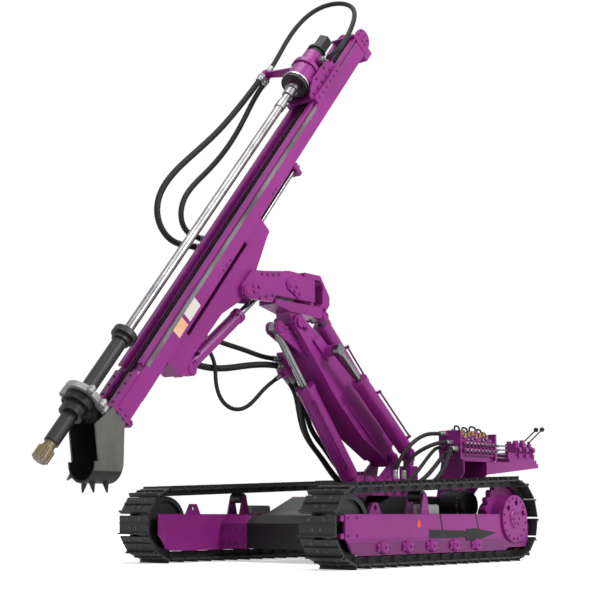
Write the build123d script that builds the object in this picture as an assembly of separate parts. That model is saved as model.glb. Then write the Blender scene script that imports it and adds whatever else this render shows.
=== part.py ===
from build123d import *
import math
import os

# Crawler drilling rig: two tracks on a low frame, a swinging boom, and a drill mast on its knuckle arm.
# Millimetres. X forward, Y left, Z up, and the ground is at Z = 0.
# X is counted from the middle of the tracks while modelling, and the whole machine moves at the end,
# so that X = 0 is then the middle of its overall length.

# Tracks
GAUGE = 2000.0  # between the centre planes of the two tracks
SHOE_WIDTH = 350.0
SHOE_COUNT = 39
SHOE_PLATE = 12.0
SHOE_GAP = 7.0  # open joint between two shoes
GROUSER_HEIGHT = 24.0
GROUSER_THICK = 12.0
LINK_HEIGHT = 50.0
LINK_WIDTH = 34.0
LINK_SPREAD = 110.0  # between the two rows of links
IDLER_X = 1180.0
IDLER_LOOP_R = 320.0  # out to the grousers' tips
SPROCKET_X = -1085.0
SPROCKET_LOOP_R = 365.0
WHEEL_GAP = 0.5  # between a wheel's rim and the links on it
TOOTH_COUNT = 21
TOOTH_HEIGHT = 30.0
TOOTH_WIDTH = 52.0
ROLLER_R = 65.0
ROLLER_WIDTH = 190.0
ROLLER_AXLE_R = 22.0
ROLLER_FIRST_X = 840.0
ROLLER_STEP = 329.0
ROLLER_COUNT = 5
CARRIER_ROLLER_X = 200.0
CARRIER_ROLLER_R = 45.0

# Track frames
FRAME_WIDTH = 250.0
FRAME_TOP = 405.0
FRAME_BOTTOM = 205.0
FRAME_WALL = 14.0
FRAME_FRONT_X = 1310.0
FRAME_REAR_X = -740.0
COVER_R = 205.0
COVER_REACH = 150.0
HUB_R = 150.0
GUARD_BOTTOM = 95.0
LUG_X = 780.0
LUG_HOLE_Z = 452.0
LUG_HOLE_R = 20.0
LUG_TOP = 492.0
LUG_THICK = 30.0
IDLER_WIDTH = 150.0
IDLER_AXLE_R = 45.0

# Carbody between the tracks
BODY_HALF_WIDTH = 560.0
BODY_FRONT_X = 250.0
BODY_REAR_X = -1360.0
BODY_BOTTOM = 250.0
BODY_TOP = 560.0
CROSS_BEAM_HALF = 130.0
CROSS_BEAM_XS = (420.0, -560.0)
CROSS_BEAM_BOTTOM = 110.0
CROSS_BEAM_TOP = 395.0

# Boom post, which swings on a vertical pin
POST_X = -560.0
POST_R = 150.0
POST_LOW = 605.0
POST_HEIGHT = 90.0
POST_CLEAR = 5.0

# Boom
BOOM_FOOT = (-700.0, 900.0)
BOOM_TIP = (640.0, 2020.0)
BOOM_HALF_WIDTH = 125.0
BOOM_WALL = 12.0
LIFT_FOOT = (-220.0, 690.0)
LIFT_EYE = (820.0, 1960.0)
SIDE_FOOT = (-712.0, 950.0)
SIDE_EYE = (295.0, 1804.0)
SIDE_Y = 270.0
TILT_FOOT = (-431.0, 1451.0)
TILT_EYE = (262.0, 2120.0)

# Knuckle arm and its near-vertical swing pin
KNUCKLE_PIN_X = 450.0
KNUCKLE_PIN_R = 38.0
ARM_PIN = (1310.0, 2200.0)

# Mast, measured in its own plane: T forward of its back face, S up along it
MAST_BASE = (2559.0, 1061.0)
MAST_ANGLE = 51.85
MAST_LENGTH = 4620.0
MAST_HALF_WIDTH = 130.0
MAST_DEPTH = 145.0
MAST_WALL = 9.0
RAIL_DEPTH = 46.0
DRILL_T = 365.0

FOOT_HALF_WIDTH = 95.0
LIFT_EYE_WIDTH = 70.0
TILT_EYE_WIDTH = 64.0
SIDE_EYE_WIDTH = 56.0
DUMP_EYE_WIDTH = 56.0
DUMP_FOOT = (1889.0, 1510.0)
DUMP_EYE = (950.0, 2285.0)
SWING_PIN_R = 55.0
SIDE_PIVOT_R = 24.0
BOOM_PIN_R = 36.0
YOKE_FOOT_HALF = 80.0
YOKE_HALF = 95.0
YOKE_LOW = 2160.0
YOKE_HIGH = 2420.0
ARM_BOSS_R = 88.0
ARM_HALF = 130.0
ARM_SOLID_X = 850.0
CRADLE_LUG_HALF = 92.0
CRADLE_FRONT = -62.0
CRADLE_LOW = 640.0
CRADLE_HIGH = 2300.0
REAR_RAIL_T = 24.0
REAR_WEB_HALF = 40.0
REAR_RAIL_HALF = 62.0
REAR_RAIL_LOW = 250.0
REAR_RAIL_HIGH = 3000.0
CLAW_GAP = 0.5
SLIDE_T = -112.0
SLIDE_BARREL_R = 45.0
SLIDE_ROD_R = 22.0
SLIDE_ROD_START = 720.0
SLIDE_BRACKET_S = 3040.0
RAIL_LOW = 420.0
RAIL_HEAD = 18.0
COVER_DEPTH = 42.0
HEAD_S = MAST_LENGTH - 950.0
HOSE_ARM_T = 430.0
HOSE_ARM_Y = -410.0
HOSE_BLOCK_S = 1850.0
FLANGE_THICK = 30.0
CLAMP_LOW = -95.0
CLAMP_HEIGHT = 48.0
CLAMP_R = 150.0
CLAMP_SMALL_R = 100.0
HAMMER_GAP = 5.0
CHAIN_DEPTH = 22.0
CHAIN_HALF = 24.0
CHAIN_WHEEL_TEETH = 11
BIT_R = 64.0
BIT_FLUTES = 6
COUPLING_STEPS = ((250.0, 331.0, 46.0), (150.0, 251.0, 38.0), (60.0, 151.0, 50.0), (1.0, 61.0, 62.0))

# Foot under the mast's end plate, which hangs upright at this lean of the mast
FOOT_BACK = 60.0
FOOT_DEPTH = 260.0
FOOT_DROP = 290.0
TROUGH_R = 152.0
TROUGH_WALL = 16.0
SPIKE_LENGTH = 75.0
SPIKE_R = 24.0
SPIKES = ((235.0, -56.0), (200.0, -14.0), (195.0, 16.0), (70.0, 16.0))  # distance forward, angle from below

# Control station
STATION_TOP = 890.0
STATION_Y = BODY_HALF_WIDTH + 60.0
STATION_FRONT_X = -920.0
STATION_REAR_X = -1320.0
SHELF_REAR_X = -2300.0
VALVE_OVERHANG = 130.0
VALVE_COUNT = 9
VALVE_STEP = 62.0
VALVE_RISES = (0.0, 26.0, 12.0)
PIPE_ROWS = 4
PIPE_R = 8.0
PILOT_FRONT_X = -1770.0
PILOT_REAR_X = -2280.0
PILOT_HEIGHTS = (130.0, 165.0, 150.0)
LEVER_TIP_X = -2480.0
LEVER_TIP_Z = 1240.0
LEVER_R = 7.0
KNOB_R = 24.0
DECK_BLOCK_X = (-420.0, 180.0)
DECK_BLOCK_Y = (290.0, 540.0)
DECK_BLOCK_PORTS = 5
VALVE_FRONT_X = STATION_REAR_X - VALVE_OVERHANG + VALVE_COUNT * VALVE_STEP + 26
PORT_LENGTH = 25.0
HOSE_CLAMP_PORTS = (  # on the clamp under the boom: X, Y, Z, direction, width across flats
    (520, -165, 1672, (1, 0, 0), 62), (520, -210, 1737, (1, 0, 0), 50),
    (493.3, -207, 1607.2, (0.866, 0, -0.5), 44),
    (452, -160, 1615, (-1, 0, -1), 56), (452, -222, 1615, (-1, 0, -1), 50), (398, -166, 1669, (-1, 0, -1), 56))
ARC_SHARE = 0.45
ROD_R = 38.0
HAMMER_R = 57.0
HAMMER_CAP_R = 44.0
HAMMER_TOP = 520.0
HAMMER_LOW = -500.0

PIN_R = 28.0
EYE_R = 50.0
LUG_R = 54.0
PIN_GAP = 0.5
EYE_GAP = 3.0  # beside an eye between its two lugs
SIDE_EYE_GAP = 14.0  # beside the side cylinder's rod eye, which turns both ways
ROD_GAP = 0.5
ROD_PARK = 0.45  # share of the barrel left for the rod to run in

os.makedirs("parts", exist_ok=True)
parts = {}
pins = {}


def frame_at(origin, angle):
    """A plane in the machine's middle: first axis at this angle above forward, second axis 90 degrees up."""
    a = math.radians(angle)
    return Plane(origin=(origin[0], 0, origin[1]), x_dir=(math.cos(a), 0, math.sin(a)), z_dir=(0, -1, 0))


WORLD = frame_at((0, 0), 0)
MAST = frame_at(MAST_BASE, 90 - MAST_ANGLE)


def slab(frame, points, y0, y1):
    """A flat piece between two values of Y, with its outline in a frame."""
    outline = make_face(Polyline(*points, close=True))
    return frame * Pos(0, 0, -y1) * extrude(outline, y1 - y0)


def disc(frame, centre, r, y0, y1):
    """A round piece along Y at a point of a frame."""
    return frame * Pos(centre[0], centre[1], -y1) * extrude(Circle(r), y1 - y0)


def block(x0, x1, y0, y1, z0, z1):
    return Pos((x0 + x1) / 2, (y0 + y1) / 2, (z0 + z1) / 2) * Box(x1 - x0, y1 - y0, z1 - z0)


def mast_block(t0, t1, y0, y1, s0, s1):
    return slab(MAST, [(t0, s0), (t1, s0), (t1, s1), (t0, s1)], y0, y1)


def mast_round(t, y, s0, s1, r):
    """A round piece along the mast."""
    centre = MAST.from_local_coords(Vector(t, s0, -y))
    direction = MAST.y_dir
    return extrude(Plane(origin=centre, z_dir=direction) * Circle(r), s1 - s0)


def mast_plan(s):
    """The plane across the mast at S. Its first axis is T and its second is Y."""
    return Plane(origin=MAST.from_local_coords(Vector(0, s, 0)), x_dir=MAST.x_dir, z_dir=MAST.y_dir)


def across(points, x0, x1):
    """A flat piece between two values of X, with its outline in Y and Z."""
    plane = Plane(origin=(x0, 0, 0), x_dir=(0, 1, 0), z_dir=(1, 0, 0))
    return extrude(plane * make_face(Polyline(*points, close=True)), x1 - x0)


def rod_between(start, end, r):
    """A round bar from one point to another."""
    run = Vector(*end) - Vector(*start)
    return extrude(Plane(origin=start, z_dir=run) * Circle(r), run.length)


def hex_plug(centre, direction, across_flats, length):
    """A hexagonal plug or port that stands out from a face."""
    plane = Plane(origin=centre, z_dir=direction)
    return extrude(plane * RegularPolygon(across_flats / 2, 6, major_radius=False), length)


# Cylinders


def make_ram(name, foot, eye, y, barrel_r, rod_r, barrel_share, eye_width):
    """A cylinder's barrel and rod, from the centre of its foot eye to that of its rod's eye."""
    length = math.hypot(eye[0] - foot[0], eye[1] - foot[1])
    angle = math.degrees(math.atan2(eye[1] - foot[1], eye[0] - foot[0]))
    frame = frame_at(foot, angle)
    axis = Vector(frame.x_dir)
    start = Vector(foot[0], y, foot[1])
    barrel_start = LUG_R + 14
    barrel_end = length * barrel_share
    gland = 45.0

    def turned(radius, a, b):
        return extrude(Plane(origin=start + axis * a, z_dir=axis) * Circle(radius), b - a)

    half = eye_width / 2
    neck = PIN_R + 8
    barrel = turned(barrel_r, barrel_start, barrel_end - gland) + turned(barrel_r + 7, barrel_end - gland, barrel_end)
    barrel += slab(frame, [(0, -neck), (barrel_start + 2, -neck), (barrel_start + 2, neck), (0, neck)], y - half, y + half)
    barrel += disc(frame, (0, 0), EYE_R, y - half, y + half)
    barrel -= disc(frame, (0, 0), PIN_R + PIN_GAP, y - half - 1, y + half + 1)
    barrel -= turned(rod_r + ROD_GAP, barrel_start + 25, barrel_end + 1)
    rod_start = barrel_start + 55 + ROD_PARK * (barrel_end - barrel_start - 55)
    rod = turned(rod_r, rod_start, length - EYE_R * 0.8)
    rod += disc(frame, (length, 0), EYE_R, y - half, y + half)
    parts[name + "_barrel"] = barrel
    parts[name + "_rod"] = rod
    pins[name + "_foot"] = (foot[0], y, foot[1])
    pins[name + "_eye"] = (eye[0], y, eye[1])
    return frame


def clevis(frame, centre, y, reach, base, eye_width, plate, pinned=True):
    """Two lugs beside an eye. From the centre they reach back to a base line, given in the frame."""
    inner = eye_width / 2 + EYE_GAP
    lugs = []
    for side in (-1, 1):
        y0 = y + min(side * inner, side * (inner + plate))
        lug = disc(frame, centre, LUG_R, y0, y0 + plate)
        lug += slab(frame, [reach[0], reach[1], base[1], base[0]], y0, y0 + plate)
        lugs.append(lug)
    both = lugs[0] + lugs[1]
    if pinned:
        both += disc(frame, centre, PIN_R, y - inner - plate, y + inner + plate)
    return both


# Tracks


def loop_segments(inset):
    """The loop's runs and arcs, drawn in from the grousers' tips, as (length, point at a share of it)."""
    a = Vector(IDLER_X, IDLER_LOOP_R)
    b = Vector(SPROCKET_X, SPROCKET_LOOP_R)
    ra = IDLER_LOOP_R - inset
    rb = SPROCKET_LOOP_R - inset
    run = (b - a).length
    slope = math.atan2(b.Y - a.Y, b.X - a.X) - math.pi
    lean = math.asin((rb - ra) / run)
    top = math.pi / 2 + slope - lean
    bottom = -math.pi / 2 + slope + lean
    straight = run * math.cos(lean)

    def at(centre, radius, angle):
        return centre + Vector(math.cos(angle), math.sin(angle)) * radius

    def line(p, q, angle):
        return straight, lambda f: (p + (q - p) * f, angle)

    def arc(centre, radius, start, end):
        return radius * abs(end - start), lambda f: (
            at(centre, radius, start + (end - start) * f), start + (end - start) * f)

    return [
        line(at(a, ra, top), at(b, rb, top), top),
        arc(b, rb, top, bottom + 2 * math.pi),
        line(at(b, rb, bottom), at(a, ra, bottom), bottom),
        arc(a, ra, bottom, top),
    ]


def on_loop(segments, distance):
    """The point at a distance along the loop, and the outward direction there."""
    for length, point in segments:
        if distance <= length:
            return point(distance / length)
        distance -= length
    return segments[-1][1](1.0)


def loop_face(inset):
    """The area inside the loop."""
    (l0, top), (l1, rear), (l2, low), (l3, front) = loop_segments(inset)
    p = [top(0)[0], top(1)[0], low(0)[0], low(1)[0]]
    edges = Line(p[0], p[1]) + ThreePointArc(p[1], rear(0.5)[0], p[2])
    edges += Line(p[2], p[3]) + ThreePointArc(p[3], front(0.5)[0], p[0])
    return make_face(edges)


def make_track(side):
    """One closed loop: flat shoes with their grousers on two rows of links."""
    base = GROUSER_HEIGHT + SHOE_PLATE
    link_in = base + LINK_HEIGHT
    segments = loop_segments(base)
    total = sum(length for length, point in segments)
    middle = total - segments[-1][0] / 2
    pitch = total / SHOE_COUNT
    half = (sum(n for n, p in loop_segments(base + LINK_HEIGHT / 2)) / SHOE_COUNT - SHOE_GAP) / 2
    centre_y = side * GAUGE / 2
    outline = [
        (-half, -2),
        (-half, SHOE_PLATE + GROUSER_HEIGHT),
        (-half + GROUSER_THICK, SHOE_PLATE + GROUSER_HEIGHT),
        (-half + GROUSER_THICK, SHOE_PLATE),
        (half, SHOE_PLATE),
        (half, -2),
    ]
    ring = loop_face(base) - loop_face(link_in)
    track = []
    for row in (-1, 1):
        y = centre_y + row * LINK_SPREAD / 2
        track.append(WORLD * Pos(0, 0, -y - LINK_WIDTH / 2) * extrude(ring, LINK_WIDTH))
    for i in range(SHOE_COUNT):
        point, angle = on_loop(segments, (middle + i * pitch) % total)
        out = Vector(math.cos(angle), math.sin(angle))
        along = Vector(-out.Y, out.X)
        corners = [point + along * a + out * h for a, h in outline]
        y0 = centre_y - SHOE_WIDTH / 2
        track.append(slab(WORLD, [(c.X, c.Y) for c in corners], y0, y0 + SHOE_WIDTH))
    return track[0].fuse(*track[1:])


def wheel_radius(loop_r):
    return loop_r - GROUSER_HEIGHT - SHOE_PLATE - LINK_HEIGHT - WHEEL_GAP


def make_idler(side):
    y = side * GAUGE / 2
    r = wheel_radius(IDLER_LOOP_R)
    centre = (IDLER_X, IDLER_LOOP_R)
    idler = disc(WORLD, centre, r, y - IDLER_WIDTH / 2, y + IDLER_WIDTH / 2)
    dish = Circle(r - 38) - Circle(IDLER_AXLE_R + 40)
    for face in (-1, 1):
        start = y + face * IDLER_WIDTH / 2
        cut = Pos(centre[0], centre[1], -start - 25) * extrude(dish, 50)
        idler -= WORLD * cut
    return idler - disc(WORLD, centre, IDLER_AXLE_R + PIN_GAP, y - IDLER_WIDTH, y + IDLER_WIDTH)


def make_sprocket(side):
    """Drive sprocket: a ring of teeth between the two rows of links, and its round cover outside."""
    y = side * GAUGE / 2
    root = wheel_radius(SPROCKET_LOOP_R)
    centre = (SPROCKET_X, SPROCKET_LOOP_R)
    tip = root + TOOTH_HEIGHT
    outline = []
    for i in range(TOOTH_COUNT):
        for share, radius in ((-0.42, root), (-0.16, tip), (0.16, tip), (0.42, root)):
            angle = 2 * math.pi * (i + share) / TOOTH_COUNT
            outline.append((centre[0] + radius * math.cos(angle), centre[1] + radius * math.sin(angle)))
    sprocket = slab(WORLD, outline, y - TOOTH_WIDTH / 2, y + TOOTH_WIDTH / 2)
    inner = y - side * (TOOTH_WIDTH / 2)
    hub_end = y - side * 150
    sprocket += disc(WORLD, centre, HUB_R, min(inner, hub_end), max(inner, hub_end))
    outer = y + side * (TOOTH_WIDTH / 2)
    cover_end = y + side * COVER_REACH
    cover = disc(WORLD, centre, COVER_R, min(outer, cover_end), max(outer, cover_end))
    for angle in (100, 160, 40):
        a = math.radians(angle)
        spot = (centre[0] + COVER_R * 0.68 * math.cos(a), centre[1] + COVER_R * 0.68 * math.sin(a))
        cover -= disc(WORLD, spot, 26, min(cover_end, cover_end - side * 30), max(cover_end, cover_end - side * 30))
    return sprocket + cover


def make_rollers(side):
    """The lower rollers and the carrier roller, on the track frame's own axles."""
    y = side * GAUGE / 2
    z = GROUSER_HEIGHT + SHOE_PLATE + LINK_HEIGHT + WHEEL_GAP + ROLLER_R
    rollers = []
    half = ROLLER_WIDTH / 2
    for i in range(ROLLER_COUNT):
        centre = (ROLLER_FIRST_X - i * ROLLER_STEP, z)
        roller = disc(WORLD, centre, ROLLER_R, y - half, y + half)
        roller += disc(WORLD, centre, ROLLER_R + 14, y - 24, y + 24)
        rollers.append(roller - disc(WORLD, centre, ROLLER_AXLE_R + PIN_GAP, y - half, y + half))
    centre = (CARRIER_ROLLER_X, carrier_roller_height())
    roller = disc(WORLD, centre, CARRIER_ROLLER_R, y - 64, y + 64)
    rollers.append(roller - disc(WORLD, centre, 20 + PIN_GAP, y - 65, y + 65))
    return rollers


def carrier_roller_height():
    """Height of the carrier roller's axle, under the links of the sloping top run."""
    point, angle = loop_segments(GROUSER_HEIGHT + SHOE_PLATE + LINK_HEIGHT)[0][1](0)
    end, angle = loop_segments(GROUSER_HEIGHT + SHOE_PLATE + LINK_HEIGHT)[0][1](1)
    share = (CARRIER_ROLLER_X - point.X) / (end.X - point.X)
    return point.Y + (end.Y - point.Y) * share - (CARRIER_ROLLER_R + WHEEL_GAP) / math.sin(angle)


def make_track_frame(side):
    """Long box frame with a fork for the idler in front, a plate for the drive behind, and a roller guard."""
    y = side * GAUGE / 2
    half = FRAME_WIDTH / 2
    floor = FRAME_BOTTOM + 35
    frame = slab(WORLD, [(FRAME_REAR_X, floor), (IDLER_X - 280, floor), (IDLER_X - 280, FRAME_TOP),
                         (FRAME_REAR_X, FRAME_TOP)], y - half, y + half)
    wall_outline = [
        (FRAME_FRONT_X, FRAME_TOP), (-1295, FRAME_TOP), (-1345, 300), (-1335, 190), (-1290, 120),
        (-1000, 120), (-940, GUARD_BOTTOM), (1130, GUARD_BOTTOM), (FRAME_FRONT_X - 90, GUARD_BOTTOM + 20),
        (FRAME_FRONT_X - 30, FRAME_BOTTOM), (FRAME_FRONT_X, FRAME_BOTTOM + 20)]
    axle_z = GROUSER_HEIGHT + SHOE_PLATE + LINK_HEIGHT + WHEEL_GAP + ROLLER_R
    drive = (SPROCKET_X, SPROCKET_LOOP_R)
    for wall in (-1, 1):
        edge = y + wall * half
        y0 = min(edge, edge - wall * FRAME_WALL)
        hole = COVER_R + 2 if wall == side else HUB_R + PIN_GAP
        panel = slab(WORLD, wall_outline, y0, y0 + FRAME_WALL)
        frame += panel - disc(WORLD, drive, hole, y0 - 1, y0 + FRAME_WALL + 1)
    frame += disc(WORLD, (IDLER_X, IDLER_LOOP_R), IDLER_AXLE_R, y - half, y + half)
    for i in range(ROLLER_COUNT):
        centre = (ROLLER_FIRST_X - i * ROLLER_STEP, axle_z)
        frame += disc(WORLD, centre, ROLLER_AXLE_R, y - half, y + half)
        cap_y = y + side * half
        frame += disc(WORLD, centre, 30, min(cap_y, cap_y + side * 16), max(cap_y, cap_y + side * 16))
    lug_y = y - 15
    lug = slab(WORLD, [(700, FRAME_TOP), (860, FRAME_TOP), (815, LUG_TOP), (745, LUG_TOP)], lug_y, lug_y + LUG_THICK)
    frame += lug - disc(WORLD, (LUG_X, LUG_HOLE_Z), LUG_HOLE_R, lug_y - 1, lug_y + LUG_THICK + 1)
    carrier = (CARRIER_ROLLER_X, carrier_roller_height())
    frame += disc(WORLD, carrier, 20, y - 75, y + 75)
    for foot in (-1, 1):
        foot_y = y + foot * 75
        frame += slab(WORLD, [(carrier[0] - 60, FRAME_TOP), (carrier[0] + 60, FRAME_TOP), (carrier[0] + 22, carrier[1] + 20),
                              (carrier[0] - 22, carrier[1] + 20)], foot_y - 8, foot_y + 8)
    return frame


for side, label in ((1, "left"), (-1, "right")):
    parts["track_" + label] = make_track(side)
    parts["idler_" + label] = make_idler(side)
    parts["sprocket_" + label] = make_sprocket(side)
    parts["rollers_" + label] = make_rollers(side)
    parts["track_frame_" + label] = make_track_frame(side)


# Carbody: the box between the tracks, its cross beams, the deck, and what stands on it


def make_main_frame():
    reach = GAUGE / 2 - FRAME_WIDTH / 2
    outline = [(BODY_REAR_X, BODY_BOTTOM + 60), (BODY_REAR_X + 120, BODY_BOTTOM), (CROSS_BEAM_XS[0], BODY_BOTTOM),
               (CROSS_BEAM_XS[0], 380), (BODY_FRONT_X, 430), (-60, BODY_TOP), (BODY_REAR_X, BODY_TOP)]
    frame = slab(WORLD, outline, -BODY_HALF_WIDTH, BODY_HALF_WIDTH)
    for x in CROSS_BEAM_XS:
        x0 = x - CROSS_BEAM_HALF
        x1 = x + CROSS_BEAM_HALF
        beam = [(x0, CROSS_BEAM_BOTTOM), (x1, CROSS_BEAM_BOTTOM), (x1, CROSS_BEAM_TOP - 70),
                (x1 - 70, CROSS_BEAM_TOP), (x0 + 70, CROSS_BEAM_TOP), (x0, CROSS_BEAM_TOP - 70)]
        frame += slab(WORLD, beam, -reach, reach)
    turn = Pos(POST_X, 0, BODY_TOP) * extrude(Circle(POST_R + 40), POST_LOW - BODY_TOP - POST_CLEAR)
    pivot = Pos(POST_X, 0, BODY_TOP) * extrude(Circle(SWING_PIN_R), POST_LOW + POST_HEIGHT - BODY_TOP)
    frame += turn + pivot
    tower_y = SIDE_Y
    tower = block(SIDE_FOOT[0] - 60, SIDE_FOOT[0] + 60, tower_y - 60, tower_y + 60, BODY_TOP, SIDE_FOOT[1] - 115)
    frame += tower
    frame += Pos(SIDE_FOOT[0], tower_y, SIDE_FOOT[1] - 120) * extrude(Circle(SIDE_PIVOT_R), 60)
    pins["boom_swing"] = (POST_X, 0, POST_LOW)
    pins["side_swing"] = (SIDE_FOOT[0], SIDE_Y, SIDE_FOOT[1])
    return frame


def make_post():
    """Turntable bracket: round base on the frame, two cheeks with the boom's foot pin and the lift cylinder's."""
    post = Pos(POST_X, 0, POST_LOW) * extrude(Circle(POST_R), POST_HEIGHT)
    post += block(POST_X, LIFT_FOOT[0] + 60, -110, 110, POST_LOW, POST_LOW + 22)
    ports = block(POST_X - 15, POST_X + 55, -255, -115, POST_LOW, POST_LOW + 185)
    for y, z in ((-160, 657), (-215, 657), (-166, 737)):
        ports += hex_plug((POST_X + 55, y, z), (1, 0, 0), 52, PORT_LENGTH)
    post += ports
    x, z = BOOM_FOOT
    top = POST_LOW + POST_HEIGHT
    cheek = [(POST_X - 135, top - 40), (POST_X + 130, top - 40), (POST_X + 130, top), (x + 55, z - 30), (x, z),
             (x - 62, z), (POST_X - 150, top)]
    inner = FOOT_HALF_WIDTH + EYE_GAP
    for side in (-1, 1):
        y0 = min(side * inner, side * (inner + 24))
        post += slab(WORLD, cheek, y0, y0 + 24) + disc(WORLD, BOOM_FOOT, 62, y0, y0 + 24)
    post += disc(WORLD, BOOM_FOOT, BOOM_PIN_R, -inner - 34, inner + 34)
    x, z = LIFT_FOOT
    post += clevis(WORLD, LIFT_FOOT, 0, [(x - 50, z), (x + 50, z)], [(x - 60, POST_LOW + 5), (x + 58, POST_LOW + 5)],
                   LIFT_EYE_WIDTH, 20)
    return post - Pos(POST_X, 0, POST_LOW - 1) * extrude(Circle(SWING_PIN_R + PIN_GAP), POST_HEIGHT + 2)


def make_side_knuckle():
    """The side cylinder's swivel foot, on an upright pivot."""
    base = Pos(SIDE_FOOT[0], SIDE_Y, SIDE_FOOT[1] - 110) * extrude(Circle(48), 56)
    eye_half = SIDE_EYE_WIDTH / 2 + EYE_GAP
    fork = base
    for side in (-1, 1):
        y0 = SIDE_Y + min(side * eye_half, side * (eye_half + 14))
        fork += disc(WORLD, SIDE_FOOT, 40, y0, y0 + 14)
        fork += block(SIDE_FOOT[0] - 34, SIDE_FOOT[0] + 34, y0, y0 + 14, SIDE_FOOT[1] - 70, SIDE_FOOT[1])
    fork += disc(WORLD, SIDE_FOOT, PIN_R, SIDE_Y - eye_half - 14, SIDE_Y + eye_half + 14)
    return fork - Pos(SIDE_FOOT[0], SIDE_Y, SIDE_FOOT[1] - 121) * extrude(Circle(SIDE_PIVOT_R + PIN_GAP), 62)


# Boom

BOOM_ANGLE = math.degrees(math.atan2(BOOM_TIP[1] - BOOM_FOOT[1], BOOM_TIP[0] - BOOM_FOOT[0]))
BOOM_LENGTH = math.hypot(BOOM_TIP[1] - BOOM_FOOT[1], BOOM_TIP[0] - BOOM_FOOT[0])
BOOM = frame_at(BOOM_FOOT, BOOM_ANGLE)


def in_boom(point):
    local = BOOM.to_local_coords(Vector(point[0], 0, point[1]))
    return (local.X, local.Y)


def make_boom():
    """Box boom: tapered section, foot eye, tip fork, lugs for its three cylinders."""
    tilt_foot = in_boom(TILT_FOOT)
    lift_eye = in_boom(LIFT_EYE)
    side_eye = in_boom(SIDE_EYE)
    outline = [(100, -95), (480, -175), (950, -165), (BOOM_LENGTH - 130, -80), (BOOM_LENGTH - 130, 80),
               (950, 135), (480, 150), (100, 95)]
    inner = [(140, -75), (490, -155), (945, -145), (BOOM_LENGTH - 180, -62), (BOOM_LENGTH - 180, 62),
             (945, 115), (490, 130), (140, 75)]
    half = BOOM_HALF_WIDTH
    boom = slab(BOOM, outline, -half, half) - slab(BOOM, inner, -half + BOOM_WALL, half - BOOM_WALL)
    foot = disc(BOOM, (0, 0), 66, -FOOT_HALF_WIDTH, FOOT_HALF_WIDTH)
    foot += slab(BOOM, [(0, -66), (110, -90), (110, 90), (0, 66)], -FOOT_HALF_WIDTH, FOOT_HALF_WIDTH)
    boom += foot
    boom -= disc(BOOM, (0, 0), BOOM_PIN_R + PIN_GAP, -half, half)
    tip_in = YOKE_FOOT_HALF + EYE_GAP
    for side in (-1, 1):
        y0 = min(side * tip_in, side * half)
        lug = disc(BOOM, (BOOM_LENGTH, 0), 66, y0, y0 + half - tip_in)
        lug += slab(BOOM, [(BOOM_LENGTH - 140, -80), (BOOM_LENGTH, -66), (BOOM_LENGTH, 66), (BOOM_LENGTH - 140, 80)],
                    y0, y0 + half - tip_in)
        boom += lug
        y0 = min(side * (LIFT_EYE_WIDTH / 2 + EYE_GAP), side * (LIFT_EYE_WIDTH / 2 + EYE_GAP + 22))
        lug = disc(BOOM, lift_eye, 58, y0, y0 + 22)
        lug += slab(BOOM, [(BOOM_LENGTH - 320, -112), (BOOM_LENGTH - 132, -78), (lift_eye[0] + 20, lift_eye[1] + 52),
                           (lift_eye[0] - 20, lift_eye[1] - 54)], y0, y0 + 22)
        boom += lug
        y0 = min(side * (TILT_EYE_WIDTH / 2 + EYE_GAP), side * (TILT_EYE_WIDTH / 2 + EYE_GAP + 20))
        lug = disc(BOOM, tilt_foot, 52, y0, y0 + 20)
        lug += slab(BOOM, [(tilt_foot[0] - 150, 120), (tilt_foot[0] + 60, 120), (tilt_foot[0] + 45, tilt_foot[1] + 20),
                           (tilt_foot[0] - 45, tilt_foot[1] + 20)], y0, y0 + 20)
        boom += lug
    boom += disc(BOOM, (BOOM_LENGTH, 0), BOOM_PIN_R, -half - 10, half + 10)
    boom += disc(BOOM, tilt_foot, PIN_R, -TILT_EYE_WIDTH / 2 - 26, TILT_EYE_WIDTH / 2 + 26)
    shelf_in = SIDE_Y - SIDE_EYE_WIDTH / 2 - SIDE_EYE_GAP
    boom += disc(BOOM, side_eye, 50, half - 1, shelf_in)
    boom += slab(BOOM, [(side_eye[0] - 60, side_eye[1] - 60), (side_eye[0] + 190, side_eye[1] - 60),
                        (side_eye[0] + 160, side_eye[1] + 30), (side_eye[0] - 60, side_eye[1] + 40)], half - 1, half + 22)
    wedge = [(300, half - 1), (300, half + 20), (430, half + 20), (1010, half - 1)]
    corners = [BOOM.from_local_coords(Vector(a, -105, -y)) for a, y in wedge]
    gusset = extrude(make_face(Polyline(*corners, close=True)), 165, dir=BOOM.y_dir)
    boom += gusset
    clamp = [(520, 1640), (520, 1800), (400, 1800), (360, 1760), (360, 1707), (486, 1581)]
    boom += slab(WORLD, clamp, -250, -half + 1)
    for x, y, z, way, width in HOSE_CLAMP_PORTS:
        boom += hex_plug((x, y, z), way, width, PORT_LENGTH)
    pins["boom_lift"] = (BOOM_FOOT[0], 0, BOOM_FOOT[1])
    return boom


# Yoke on the boom's tip

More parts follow.
